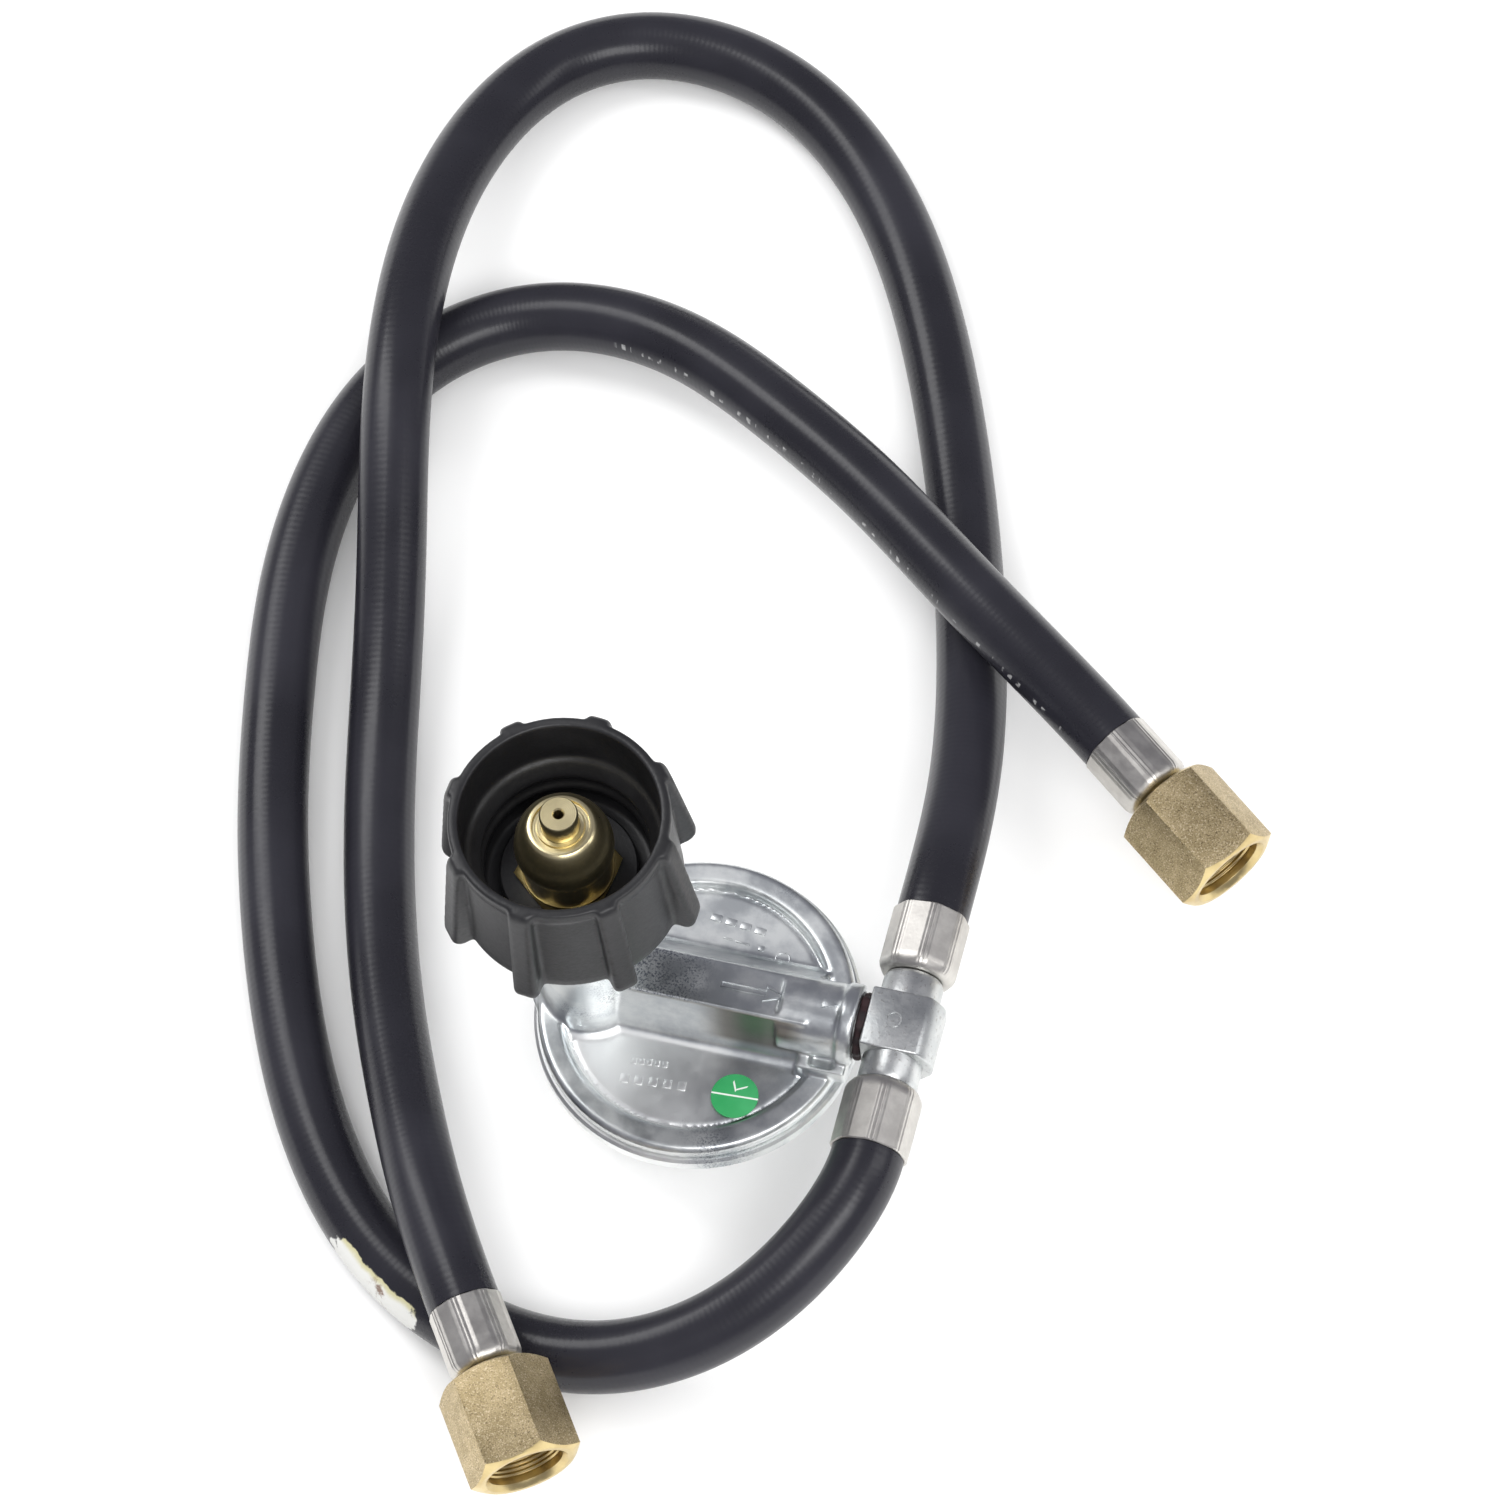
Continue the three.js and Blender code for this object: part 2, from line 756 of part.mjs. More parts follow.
for (const [name, side] of [["tee_ferrule_a", 1], ["tee_ferrule_b", -1]]) {
  const mesh = add(name, ferrule(FERRULE_RADIUS, TEE_FERRULE_LENGTH), plated);
  mesh.rotation.x = (side * Math.PI) / 2;
  mesh.position.set(TEE_X, side * (TEE_FERRULE_START + TEE_FERRULE_LENGTH), OUTLET_Z);
}

// ---------------------------------------------------------------- hoses and their ends

function hoseStem() {
  const neckEnd = FLARE_OFFSET + FLARE_WALL + GAP;
  return turned([
    [2.6, 0.4],
    [BARB_RADIUS, 0.4],
    [BARB_RADIUS, END_FERRULE_LENGTH + GAP],
    [FLARE_HOLE - GAP, END_FERRULE_LENGTH + GAP],
    [FLARE_HOLE - GAP, neckEnd],
    [7.4, neckEnd],
    [7.4, neckEnd + 1.6],
    [3.4, neckEnd + 5.6],
    [2.6, neckEnd + 5.6],
  ]);
}

function flareNut() {
  const [low, high] = [FLARE_OFFSET, FLARE_OFFSET + FLARE_LENGTH];
  const hex = hexagon(FLARE_HEX, low, high, 1.2);
  const bore = turned([
    [0, low + FLARE_WALL],
    [FLARE_BORE, low + FLARE_WALL],
    [FLARE_BORE, high - 0.5],
    [FLARE_BORE + 0.6, high + 0.1],
    [0, high + 0.1],
  ]);
  return cut(hex, disc(FLARE_HOLE, low - 1, low + FLARE_WALL + 1), bore);
}

const UP = new THREE.Vector3(0, 0, 1);

for (const [letter, route, turn] of [["a", HOSE_A_ROUTE, 14.7], ["b", HOSE_B_ROUTE, 26.1]]) {
  add(`hose_${letter}`, sweep(hoseCurve(route), HOSE_RADIUS, HOSE_SIDES, HOSE_STEPS), hoseRubber);
  const { end, way } = hoseEnd(route);
  const tail = new THREE.Group();
  tail.quaternion.setFromUnitVectors(UP, way);
  tail.position.copy(end).addScaledVector(way, GAP);
  assembly.add(tail);
  add(`end_ferrule_${letter}`, ferrule(END_FERRULE_RADIUS, END_FERRULE_LENGTH), plated, tail);
  add(`hose_stem_${letter}`, hoseStem(), brass, tail);
  const nut = add(`flare_nut_${letter}`, flareNut(), brass, tail);
  nut.rotation.z = THREE.MathUtils.degToRad(turn);
}

export default assembly;
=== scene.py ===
import math

import bmesh
import bpy
from mathutils import Matrix, Vector


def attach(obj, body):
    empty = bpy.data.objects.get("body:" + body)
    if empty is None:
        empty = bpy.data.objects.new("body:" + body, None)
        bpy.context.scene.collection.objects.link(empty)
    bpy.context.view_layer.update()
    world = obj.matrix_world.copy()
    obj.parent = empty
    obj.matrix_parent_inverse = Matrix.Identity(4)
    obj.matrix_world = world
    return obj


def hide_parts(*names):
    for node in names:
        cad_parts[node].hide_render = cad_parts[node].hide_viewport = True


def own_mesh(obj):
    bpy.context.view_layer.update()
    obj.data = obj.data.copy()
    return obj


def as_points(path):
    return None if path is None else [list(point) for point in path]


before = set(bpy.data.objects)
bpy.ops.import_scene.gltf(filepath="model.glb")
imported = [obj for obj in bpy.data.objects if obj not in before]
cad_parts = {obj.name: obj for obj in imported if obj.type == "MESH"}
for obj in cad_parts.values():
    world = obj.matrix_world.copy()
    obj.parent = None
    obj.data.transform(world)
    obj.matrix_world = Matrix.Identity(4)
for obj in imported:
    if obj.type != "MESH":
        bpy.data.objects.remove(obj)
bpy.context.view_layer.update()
MM = 0.001

# ---------------------------------------------------------------- camera
# A long lens looks down steeply on the set as it lies, a little from its outlet side, and is rolled
# a few degrees so that the hoses fill the frame from corner to corner.

camera_data = bpy.data.cameras.new("camera")
camera_data.sensor_width = 36
camera_data.lens = 168
camera_data.clip_end = 20
camera = bpy.data.objects.new("camera", camera_data)
bpy.context.scene.collection.objects.link(camera)
look = Vector((-0.16712505, 0.42210969, -0.89100652))
up = Vector((-0.19540941, 0.87160766, 0.4495723))
facing = Matrix((look.cross(up), up, -look)).transposed().to_4x4()
camera.matrix_world = Matrix.Translation((0.24107274, -0.55965953, 1.33216576)) @ facing
bpy.context.scene.camera = camera


# ---------------------------------------------------------------- floor and studio light
# A white table under wide soft boxes, as for a catalogue picture. Around it the room is light above
# and darker towards the horizon, which gives the plated metal its streaks of grey.


class Shade:
    """A socket of a node tree. Arithmetic on it adds Math nodes."""

    def __init__(self, tree, socket=None):
        self.tree = tree
        self.socket = socket

    def node(self, kind, inputs=(), output=0, **settings):
        made = self.tree.nodes.new(kind)
        for name, value in settings.items():
            setattr(made, name, value)
        for key, value in dict(inputs).items():
            if isinstance(value, Shade):
                self.tree.links.new(value.socket, made.inputs[key])
            else:
                made.inputs[key].default_value = value
        return Shade(self.tree, made.outputs[output])

    def math(self, operation, *values):
        return self.node("ShaderNodeMath", dict(enumerate(values)), operation=operation)

    def __add__(self, other):
        return self.math("ADD", self, other)

    def __radd__(self, other):
        return self.math("ADD", other, self)

    def __sub__(self, other):
        return self.math("SUBTRACT", self, other)

    def __rsub__(self, other):
        return self.math("SUBTRACT", other, self)

    def __mul__(self, other):
        return self.math("MULTIPLY", self, other)

    def __rmul__(self, other):
        return self.math("MULTIPLY", other, self)

    def sine(self):
        return self.math("SINE", self)

    def size(self):
        return self.math("ABSOLUTE", self)

    def root(self):
        return self.math("SQRT", self)

    def greater(self, other):
        return self.math("MAXIMUM", self, other)

    def between(self, low, high):
        """0 at low and 1 at high, and smooth between them. low may be the greater."""
        inputs = {"Value": self, "From Min": low, "From Max": high}
        return self.node("ShaderNodeMapRange", inputs, interpolation_type="SMOOTHSTEP")

    def mix(self, first, second):
        """The first colour where this is 0, and the second where it is 1."""
        inputs = {0: self}
        for key, colour in ((6, first), (7, second)):
            inputs[key] = colour if isinstance(colour, Shade) else (*colour, 1)
        return self.node("ShaderNodeMix", inputs, output=2, data_type="RGBA")


floor_bm = bmesh.new()
bmesh.ops.create_grid(floor_bm, x_segments=1, y_segments=1, size=3)
floor_mesh = bpy.data.meshes.new("table")
floor_bm.to_mesh(floor_mesh)
floor_bm.free()
floor = bpy.data.objects.new("table", floor_mesh)
bpy.context.scene.collection.objects.link(floor)
floor_material = bpy.data.materials.new("table_white")
floor_material.use_nodes = True
floor_shader = floor_material.node_tree.nodes["Principled BSDF"]
floor_shader.inputs["Base Color"].default_value = (0.95, 0.95, 0.95, 1)
floor_shader.inputs["Roughness"].default_value = 0.9
floor_mesh.materials.append(floor_material)

world = bpy.data.worlds.new("studio")
bpy.context.scene.world = world
world.use_nodes = True
room = world.node_tree
sky = Shade(room).node("ShaderNodeTexCoord", output=0).node("ShaderNodeSeparateXYZ", output=2)
backdrop = room.nodes["Background"]
backdrop.inputs["Strength"].default_value = 1.0
mirrored = sky.between(0.05, 0.55).mix((0.22, 0.22, 0.25), (0.95, 0.95, 0.95))
glossy = Shade(room).node("ShaderNodeLightPath", output=3)
seen = glossy.mix((1.0, 1.0, 1.0), mirrored)
room.links.new(seen.socket, backdrop.inputs["Color"])
bpy.context.scene.view_settings.view_transform = "Standard"


def soft_box(name, place, target, size, power):
    data = bpy.data.lights.new(name, "AREA")
    data.shape = "RECTANGLE"
    data.size, data.size_y = size
    data.energy = power
    light = bpy.data.objects.new(name, data)
    bpy.context.scene.collection.objects.link(light)
    light.location = place
    light.rotation_euler = (Vector(target) - Vector(place)).to_track_quat("-Z", "Y").to_euler()


soft_box("key", (-1.2, 0.5, 1.5), (-0.02, 0.06, 0.02), (0.6, 1.6), 15)
soft_box("fill", (1.5, 0.3, 1.3), (0, 0.05, 0.02), (0.4, 1.4), 5)
soft_box("front", (0.6, -0.75, 1.4), (-0.02, 0.0, 0.08), (1.1, 0.6), 13)


# ---------------------------------------------------------------- hoses
# Low-pressure gas hose, 15 mm outside: black rubber extruded over a textile braid, which shows through
# as a faint lattice. One hose has a worn row of print and the rest of a torn paper label.


class Finish:
    """A new material: its shader's constants, and where its patterns start."""

    def __init__(self, name, **constants):
        self.material = bpy.data.materials.new(name)
        self.material.use_nodes = True
        self.tree = self.material.node_tree
        self.shader = self.tree.nodes["Principled BSDF"]
        for key, value in constants.items():
            self.shader.inputs[key.replace("_", " ")].default_value = value
        self.start = Shade(self.tree)

    def place(self):
        return self.start.node("ShaderNodeTexCoord", output=3)

    def noise(self, scale, detail=2.0, rough=0.5):
        inputs = {"Vector": self.place(), "Scale": scale, "Detail": detail, "Roughness": rough}
        return self.start.node("ShaderNodeTexNoise", inputs)

    def feed(self, key, value):
        self.tree.links.new(value.socket, self.shader.inputs[key])

    def bump(self, height, distance):
        """distance is in metres, for a height that runs from 0 to 1."""
        inputs = {"Height": height, "Distance": distance}
        self.feed("Normal", self.start.node("ShaderNodeBump", inputs))


HOSE_RADIUS = 7.5
HOSE_SIDES = 32
BRAID_ALONG = 1300.0
BRAID_AROUND = 75.4
HOSE_A_ROUTE = [
    (43.5, 27, 32.5), (43.5, 35, 32.5), (43, 50, 28.5), (40, 73, 20), (34, 99, 13), (26, 126, 9),
    (17, 151, 7.6), (6, 177, 7.6), (-8, 202, 7.6), (-27, 223, 7.6), (-50, 235, 7.6),
    (-74, 236, 7.6), (-93, 225, 8.5), (-104, 203, 12), (-107, 174, 18.5), (-104, 145, 24.5),
    (-99, 119, 24), (-93, 94, 17), (-88, 70, 10.5), (-83, 45, 7.6), (-76, 19, 8), (-66, -8, 13),
    (-54, -33, 19.5), (-43, -54, 25.8), (-33.6, -68.5, 25.8), (-29, -75.1, 25.5),
]
HOSE_B_ROUTE = [
    (43.5, -27.5, 32.5), (43.5, -34.5, 32.5), (37, -51, 28), (20, -68, 18), (-4, -77, 10.5),
    (-31, -74, 7.6), (-55, -61, 7.6), (-73, -40, 7.6), (-86, -16, 7.6), (-96, 9, 7.6),
    (-104, 34, 7.6), (-110, 61, 7.6), (-115, 89, 7.6), (-114, 118, 7.6), (-106, 142, 7.6),
    (-89, 158, 7.6), (-68, 163, 10.5), (-43, 157, 16.5), (-18, 141, 23.5), (7, 124, 28.5),
    (30, 105, 30.6), (48.5, 92.6, 28.7), (63.5, 82.7, 26), (69.9, 77.9, 25.3),
]


def hose_rubber(name, printed):
    """Black rubber over braid. along runs from 0 at the tee to 1, and around from 0 to 1."""
    finish = Finish(name, Specular_IOR_Level=0.36)
    coords = finish.start.node("ShaderNodeTexCoord", output=2)
    along = coords.node("ShaderNodeSeparateXYZ", {0: coords}, output=0)
    around = coords.node("ShaderNodeSeparateXYZ", {0: coords}, output=1)
    left_lay = (along * BRAID_ALONG + around * BRAID_AROUND).sine()
    right_lay = (along * BRAID_ALONG - around * BRAID_AROUND).sine()
    braid = left_lay * right_lay * 0.5 + 0.5
    grain = finish.noise(900.0, 3.0)
    dull = finish.noise(24.0, 3.0)
    colour = dull.between(0.35, 0.7).mix((0.0135, 0.0132, 0.018), (0.022, 0.0215, 0.029))
    roughness = dull.between(0.3, 0.75) * 0.08 + (grain * 0.1 + 0.21)
    if printed:
        # A row of letters too worn to read, along the last quarter of the hose.
        strokes = (along * 1320.0).sine().between(0.1, 0.3)
        dash = strokes * (along * 377.0).sine().between(-0.55, -0.4)
        line = around.between(0.446, 0.450) * around.between(0.480, 0.476)
        stretch = along.between(0.733, 0.738) * along.between(0.985, 0.98)
        worn = finish.noise(420.0, 3.0).between(0.47, 0.6)
        colour = (dash * line * stretch * worn * 0.6).mix(colour, (0.5, 0.5, 0.5))
        # What is left of the label: a torn edge, a soaked side and a brown spot.
        torn = finish.noise(160.0, 4.0, 0.6) * 0.07 - 0.035
        edge = along + torn * 0.3
        side = around + torn
        paper = edge.between(0.2065, 0.208) * edge.between(0.2455, 0.244)
        paper = paper * side.between(0.176, 0.168)
        soaked = side.between(0.13, 0.165) * 0.7
        spot = edge.between(0.2195, 0.2225) * edge.between(0.2275, 0.2245)
        spot = spot * finish.noise(260.0, 4.0, 0.65).between(0.46, 0.58)
        paper_colour = soaked.mix((0.60, 0.60, 0.58), (0.42, 0.38, 0.14))
        paper_colour = (spot * 0.85).mix(paper_colour, (0.13, 0.06, 0.03))
        colour = paper.mix(colour, paper_colour)
        roughness = roughness + paper * 0.4
    finish.feed("Base Color", colour)
    finish.feed("Roughness", roughness)
    finish.bump(braid * 0.55 + grain * 0.45, 0.00003)
    return finish.material


def hose(name, route):
    """The hose's skin, and the points of its centreline."""
    data = bpy.data.curves.new(name, "CURVE")
    data.dimensions = "3D"
    data.resolution_u = 12
    data.bevel_depth = HOSE_RADIUS * MM
    data.bevel_resolution = HOSE_SIDES // 2 - 2
    data.twist_mode = "MINIMUM"
    spline = data.splines.new("NURBS")
    spline.points.add(len(route) - 1)
    for point, place in zip(spline.points, route):
        point.co = (*(v * MM for v in place), 1)
    spline.order_u = 4
    spline.use_endpoint_u = True
    former = bpy.data.objects.new(name, data)
    bpy.context.scene.collection.objects.link(former)
    shaped = former.evaluated_get(bpy.context.evaluated_depsgraph_get())
    mesh = bpy.data.meshes.new_from_object(shaped)
    bpy.data.objects.remove(former)
    mesh.materials.clear()
    mesh.shade_smooth()
    corners = [vertex.co.copy() for vertex in mesh.vertices]
    rings = [corners[i : i + HOSE_SIDES] for i in range(0, len(corners), HOSE_SIDES)]
    return mesh, [sum(ring, Vector()) / HOSE_SIDES for ring in rings]


hoses = {}
for letter, route, length in (("a", HOSE_A_ROUTE, 0.606), ("b", HOSE_B_ROUTE, 0.556)):
    skin, centreline = hose(f"gas_hose_{letter}", route)
    skin.materials.append(hose_rubber(f"hose_rubber_{letter}", letter == "b"))
    piece = bpy.data.objects.new(f"gas_hose_{letter}", skin)
    bpy.context.scene.collection.objects.link(piece)
    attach(piece, "regulator")
    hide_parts(f"hose_{letter}")
    hoses[letter] = (piece, route, length, centreline)


# ---------------------------------------------------------------- cast body
# The regulator's upper half is one zinc die casting, bright plated: a round cover with a raised rim, a
# hollow ridge for the valve, the inlet neck and the outlet boss with its side lugs.

ALONG_X = Matrix(((0, 0, 1, 0), (1, 0, 0, 0), (0, 1, 0, 0), (0, 0, 0, 1)))
OUTLET_Z = 32.5
INLET_X = -22.5
PLATE_TOP = 24.5
RIDGE_TOP = 39


def turned(profile, steps=96):
    """A profile of (radius, height) in millimetres, spun about Z into a solid."""
    bm = bmesh.new()
    points = [bm.verts.new((radius * MM, 0, height * MM)) for radius, height in profile]
    for pair in zip(points, points[1:] + points[:1]):
        if any(point.co.x > 0 for point in pair):
            bm.edges.new(pair)
    bmesh.ops.spin(
        bm,
        geom=bm.verts[:] + bm.edges[:],
        cent=(0, 0, 0),
        axis=(0, 0, 1),
        dvec=(0, 0, 0),
        angle=2 * math.pi,
        steps=steps,
        use_merge=True,
        use_duplicate=False,
    )
    bmesh.ops.remove_doubles(bm, verts=bm.verts, dist=1e-6)
    bmesh.ops.recalc_face_normals(bm, faces=bm.faces)
    return bm


def disc(radius, low, high, steps=64):
    return turned([(0, low), (radius, low), (radius, high), (0, high)], steps)


def extruded(outline, depth):
    """A flat outline in millimetres, given that depth upwards."""
    bm = bmesh.new()
    base = bm.faces.new([bm.verts.new((x * MM, y * MM, 0)) for x, y in outline])
    raised = bmesh.ops.extrude_face_region(bm, geom=[base])["geom"]
    top = [v for v in raised if isinstance(v, bmesh.types.BMVert)]
    bmesh.ops.translate(bm, verts=top, vec=(0, 0, depth * MM))
    bmesh.ops.recalc_face_normals(bm, faces=bm.faces)
    return bm


def block(low, high):
    """A box between two corners in millimetres."""
    bm = bmesh.new()
    size = [b - a for a, b in zip(low, high)]
    middle = [(a + b) / 2 * MM for a, b in zip(low, high)]
    placing = Matrix.Translation(middle) @ Matrix.Diagonal((*(v * MM for v in size), 1))
    bmesh.ops.create_cube(bm, size=1, matrix=placing)
    return bm


def moved(bm, x=0, y=0, z=0, turn=None):
    """The same solid, turned and then shifted in millimetres."""
    matrix = Matrix.Translation((x * MM, y * MM, z * MM)) @ (turn or Matrix())
    bmesh.ops.transform(bm, matrix=matrix, verts=bm.verts)
    return bm


def together(*solids):
    """Several closed shells as one mesh."""
    base = solids[0]
    for other in solids[1:]:
        scratch = bpy.data.meshes.new("scratch")
        other.to_mesh(scratch)
        other.free()
        base.from_mesh(scratch)
        bpy.data.meshes.remove(scratch)
    return base


def rounded(bm, width, sharper_than=30, segments=3):
    """Every edge sharper than that many degrees gets a rounding, in millimetres."""
    limit = math.radians(sharper_than)
    edges = [e for e in bm.edges if e.is_manifold and e.calc_face_angle() > limit]
    bmesh.ops.bevel(
        bm,
        geom=edges,
        offset=width * MM,
        offset_type="OFFSET",
        segments=segments,
        profile=0.5,
        affect="EDGES",
        material=-1,
        clamp_overlap=True,
    )
    return bm


def carved(solids, holes=(), shared=(), grain=None, passes=0):
    """Solids joined, holes cut, and only what lies in the shared ones kept. With a grain the skin is
    remade in cells of that size and softened."""
    steps = ["UNION"] * len(solids) + ["DIFFERENCE"] * len(holes) + ["INTERSECT"] * len(shared)
    scratch = []
    for step, bm in zip(steps, (*solids, *holes, *shared)):
        mesh = bpy.data.meshes.new("scratch")
        bm.to_mesh(mesh)
        bm.free()
        scratch.append(bpy.data.objects.new("scratch", mesh))
        bpy.context.scene.collection.objects.link(scratch[-1])
        if len(scratch) > 1:
            cut = scratch[0].modifiers.new("cut", "BOOLEAN")
            cut.operation = step
            cut.solver = "EXACT"
            cut.object = scratch[-1]
    if grain:
        skin = scratch[0].modifiers.new("skin", "REMESH")
        skin.mode = "VOXEL"
        skin.voxel_size = grain * MM
    shaped = scratch[0].evaluated_get(bpy.context.evaluated_depsgraph_get())
    mesh = bpy.data.meshes.new_from_object(shaped)
    bm = bmesh.new()
    bm.from_mesh(mesh)
    bpy.data.meshes.remove(mesh)
    for thing in scratch:
        used = thing.data
        bpy.data.objects.remove(thing)
        bpy.data.meshes.remove(used)
    for _ in range(passes):
        bmesh.ops.smooth_vert(
            bm, verts=bm.verts, factor=0.5, use_axis_x=True, use_axis_y=True, use_axis_z=True
        )
    return bm


def finished(name, bm, materials, body, replaced=(), smooth=35):
    """The solid as a named piece, with its materials and its place in the frame."""
    mesh = bpy.data.meshes.new(name)
    bm.to_mesh(mesh)
    bm.free()
    for material in materials:
        mesh.materials.append(material)
    mesh.shade_smooth()
    if smooth:
        mesh.set_sharp_from_angle(angle=math.radians(smooth))
    piece = bpy.data.objects.new(name, mesh)
    bpy.context.scene.collection.objects.link(piece)
    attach(piece, body)
    if replaced:
        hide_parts(*replaced)
    return piece


def bright_zinc(name):
    """Passivated die casting: bright satin, with cloudy grey patches and fine dark pits."""
    finish = Finish(name, Metallic=1.0)
    cloud = finish.noise(110.0, 5.0, 0.62)
    patch = finish.noise(42.0, 3.0, 0.55)
    pits = finish.noise(2300.0, 3.0, 0.7)
    colour = cloud.between(0.36, 0.66).mix((0.64, 0.67, 0.68), (0.86, 0.88, 0.87))
    # Where the casting is freckled on the ridge's crown, with a painted brown reflection on the
    # ridge's front side and a painted highlight that brightens the plate in front of the ridge.
    place = finish.place()
    x, y, z = (place.node("ShaderNodeSeparateXYZ", {0: place}, output=i) for i in range(3))
    crown = z.between(0.0385, 0.0388) * x.between(0.006, -0.002) * z.between(0.045, 0.0405)
    crown = crown * x.between(-0.0165, -0.0145)
    # Painted reflection: a brown patch on the front side of the ridge.
    painted_reflection = y.between(-0.0045, -0.0052) * z.between(0.0265, 0.029) * z.between(0.0388, 0.0382)
    painted_reflection = painted_reflection * x.between(0.001, 0.009) * x.between(0.0262, 0.021)
    painted_reflection = painted_reflection * y.between(-0.0078, -0.0072)
    # Painted highlight: the plate in front of the ridge is made almost white, and a little rougher.
    painted_highlight = y.between(-0.003, -0.009) * x.between(0.014, 0.003) * z.between(0.0252, 0.0248)
    freckled = (crown * cloud.between(0.3, 0.5)).greater(patch.between(0.55, 0.72))
    freckled = freckled * pits.between(0.47, 0.6)
    # The painted highlight on the plate, then the freckles on the crown, then the painted reflection
    # on the ridge's side.
    colour = painted_highlight.mix(colour, (0.96, 0.97, 0.96))
    colour = (freckled * 0.75).mix(colour, (0.10, 0.12, 0.17))
    colour = (painted_reflection * 0.75).mix(colour, (0.15, 0.12, 0.09))
    finish.feed("Base Color", colour)
    satin = cloud.between(0.35, 0.65) * 0.12 + (pits * 0.1 + 0.26)
    finish.feed("Roughness", satin + painted_highlight * 0.1)
    finish.bump(cloud * 0.8 + pits * 0.2, 0.00004)
    return finish.material


zinc = bright_zinc("zinc_casting")

cover = turned(
    [
        (0, 23.2),
        (28.2, 23.2),
        (29, 22.8),
        (33, 22.8),
        (33, 25.1),
        (32.1, 26),
        (28.4, 26),
        (27.7, 25.6),
        (27.2, 24.2),
        (26.7, 24.0),
        (26.3, 24.5),
        (0, 24.5),
    ],
    128,
)
ridge = extruded(
    [
        (-9.4, 24.0),
        (16.2, 24.0),
        (14.2, 24.6),
        (12.9, 25.6),
        (5.3, 38.5),
        (4.9, 38.9),
        (4.4, 39.0),
        (-4.7, 39.0),
        (-5.1, 38.9),
        (-5.3, 38.5),
        (-7.0, 27.0),
        (-7.6, 25.4),
        (-9.0, 24.6),
    ],
    41,
)
ridge = moved(ridge, x=-16, turn=ALONG_X)
neck = turned(
    [
        (0, 23.4),
        (12.6, 23.4),
        (12.4, 24.6),
        (11, 25.2),
        (10.2, 26.6),
        (9.9, 29),
        (9.7, 71.2),
        (9.0, 72.2),
        (0, 72.2),
    ]
)
neck = moved(neck, x=INLET_X)
boss = moved(disc(7.8, 0, 14.8), x=19, z=OUTLET_Z, turn=ALONG_X)
collar = turned([(0, 0), (8.0, 0), (8.4, 0.4), (8.4, 2.9), (7.9, 3.4), (0, 3.4)])
collar = moved(collar, x=31.4, z=OUTLET_Z, turn=ALONG_X)
lugs = block((23.4, -10, PLATE_TOP - 0.3), (33.9, 10, 28.6))
front_pocket = block((26.2, -9.2, 27.3), (31.2, -6.4, 30))
back_pocket = block((26.2, 6.4, 27.3), (31.2, 9.2, 30))
neck_hole = moved(disc(6.9, 57, 74), x=INLET_X)
valve_chamber = block((-7.2, -3.6, 20), (23, 3.6, 36.6))
orifice_seat = moved(disc(3.3, -3.6, 0, 32), x=-7, z=OUTLET_Z, turn=ALONG_X)
outlet_hole = moved(disc(6.3, 0, 10, 48), x=27.5, z=OUTLET_Z, turn=ALONG_X)
outlet_way = moved(disc(3.5, 0, 8, 32), x=21, z=OUTLET_Z, turn=ALONG_X)
pin_hole = moved(disc(1.5, -5.6, 5.6, 24), x=9, z=27.5, turn=Matrix.Rotation(math.pi / 2, 4, "X"))
casting = carved(
    (cover, ridge, neck, boss, collar, lugs),
    (
        front_pocket,
        back_pocket,
        neck_hole,
        valve_chamber,
        orifice_seat,
        outlet_hole,
        outlet_way,
        pin_hole,
    ),
    grain=0.41,
    passes=1,
)
finished("cast_body", casting, [zinc], "regulator", ["body_casting"], smooth=0)

# ---------------------------------------------------------------- cast marks
# What the mould raises on the casting: an outline arrow that points to the outlet, blank foundry
# tablets and ejector rings on the cover, and a small triangle on the outlet boss.


def arrow(inset, low, high):
    """A flat arrow along X between two heights, drawn in by that much all round."""
    tail = 6.0 + inset
    neck = 15.2 + inset
    wide = 0.8 - inset
    barb = 2.0 - 1.9 * inset
    point = 20.4 - 2.8 * inset
    shape = [(tail, -wide), (neck, -wide), (neck, -barb), (point, 0), (neck, barb), (neck, wide)]
    return moved(extruded(shape + [(tail, wide)], high - low), z=low)


outer_arrow = arrow(0, RIDGE_TOP - 0.3, RIDGE_TOP + 0.4)
inner_arrow = arrow(0.42, RIDGE_TOP - 1, RIDGE_TOP + 1)
marks = [carved((outer_arrow,), (inner_arrow,))]
MARK_FOOT = PLATE_TOP - 0.15
for x, y, long, wide, turn in (
    (-1.2, 20.6, 2.2, 1.5, -4),
    (2.0, 20.3, 2.2, 1.5, -4),
    (5.2, 20.0, 2.2, 1.5, -4),
    (8.4, 19.6, 2.2, 1.5, -4),
    (2.2, 16.5, 1.8, 0.35, -4),
    (5.4, 16.2, 3.0, 0.35, -4),
    (9.6, 15.8, 1.2, 1.2, -4),
    (-9.6, -14.6, 1.1, 1.3, 4),
    (-8.0, -14.4, 1.1, 1.3, 4),
    (-6.4, -14.2, 1.1, 1.3, 4),
    (-4.8, -14.1, 1.1, 1.3, 4),
    (-3.2, -14.0, 1.1, 1.3, 4),
    (-10.6, -18.8, 1.7, 1.9, 4),
    (-7.6, -18.6, 1.7, 1.9, 4),
    (-4.6, -18.3, 1.7, 1.9, 4),
    (-1.6, -18.1, 1.7, 1.9, 4),
    (1.4, -17.9, 1.7, 1.9, 4),
):
    tablet = block((-long / 2, -wide / 2, 0), (long / 2, wide / 2, 0.42))
    placing = Matrix.Rotation(math.radians(turn), 4, "Z")
    marks.append(moved(tablet, x=x, y=y, z=MARK_FOOT, turn=placing))
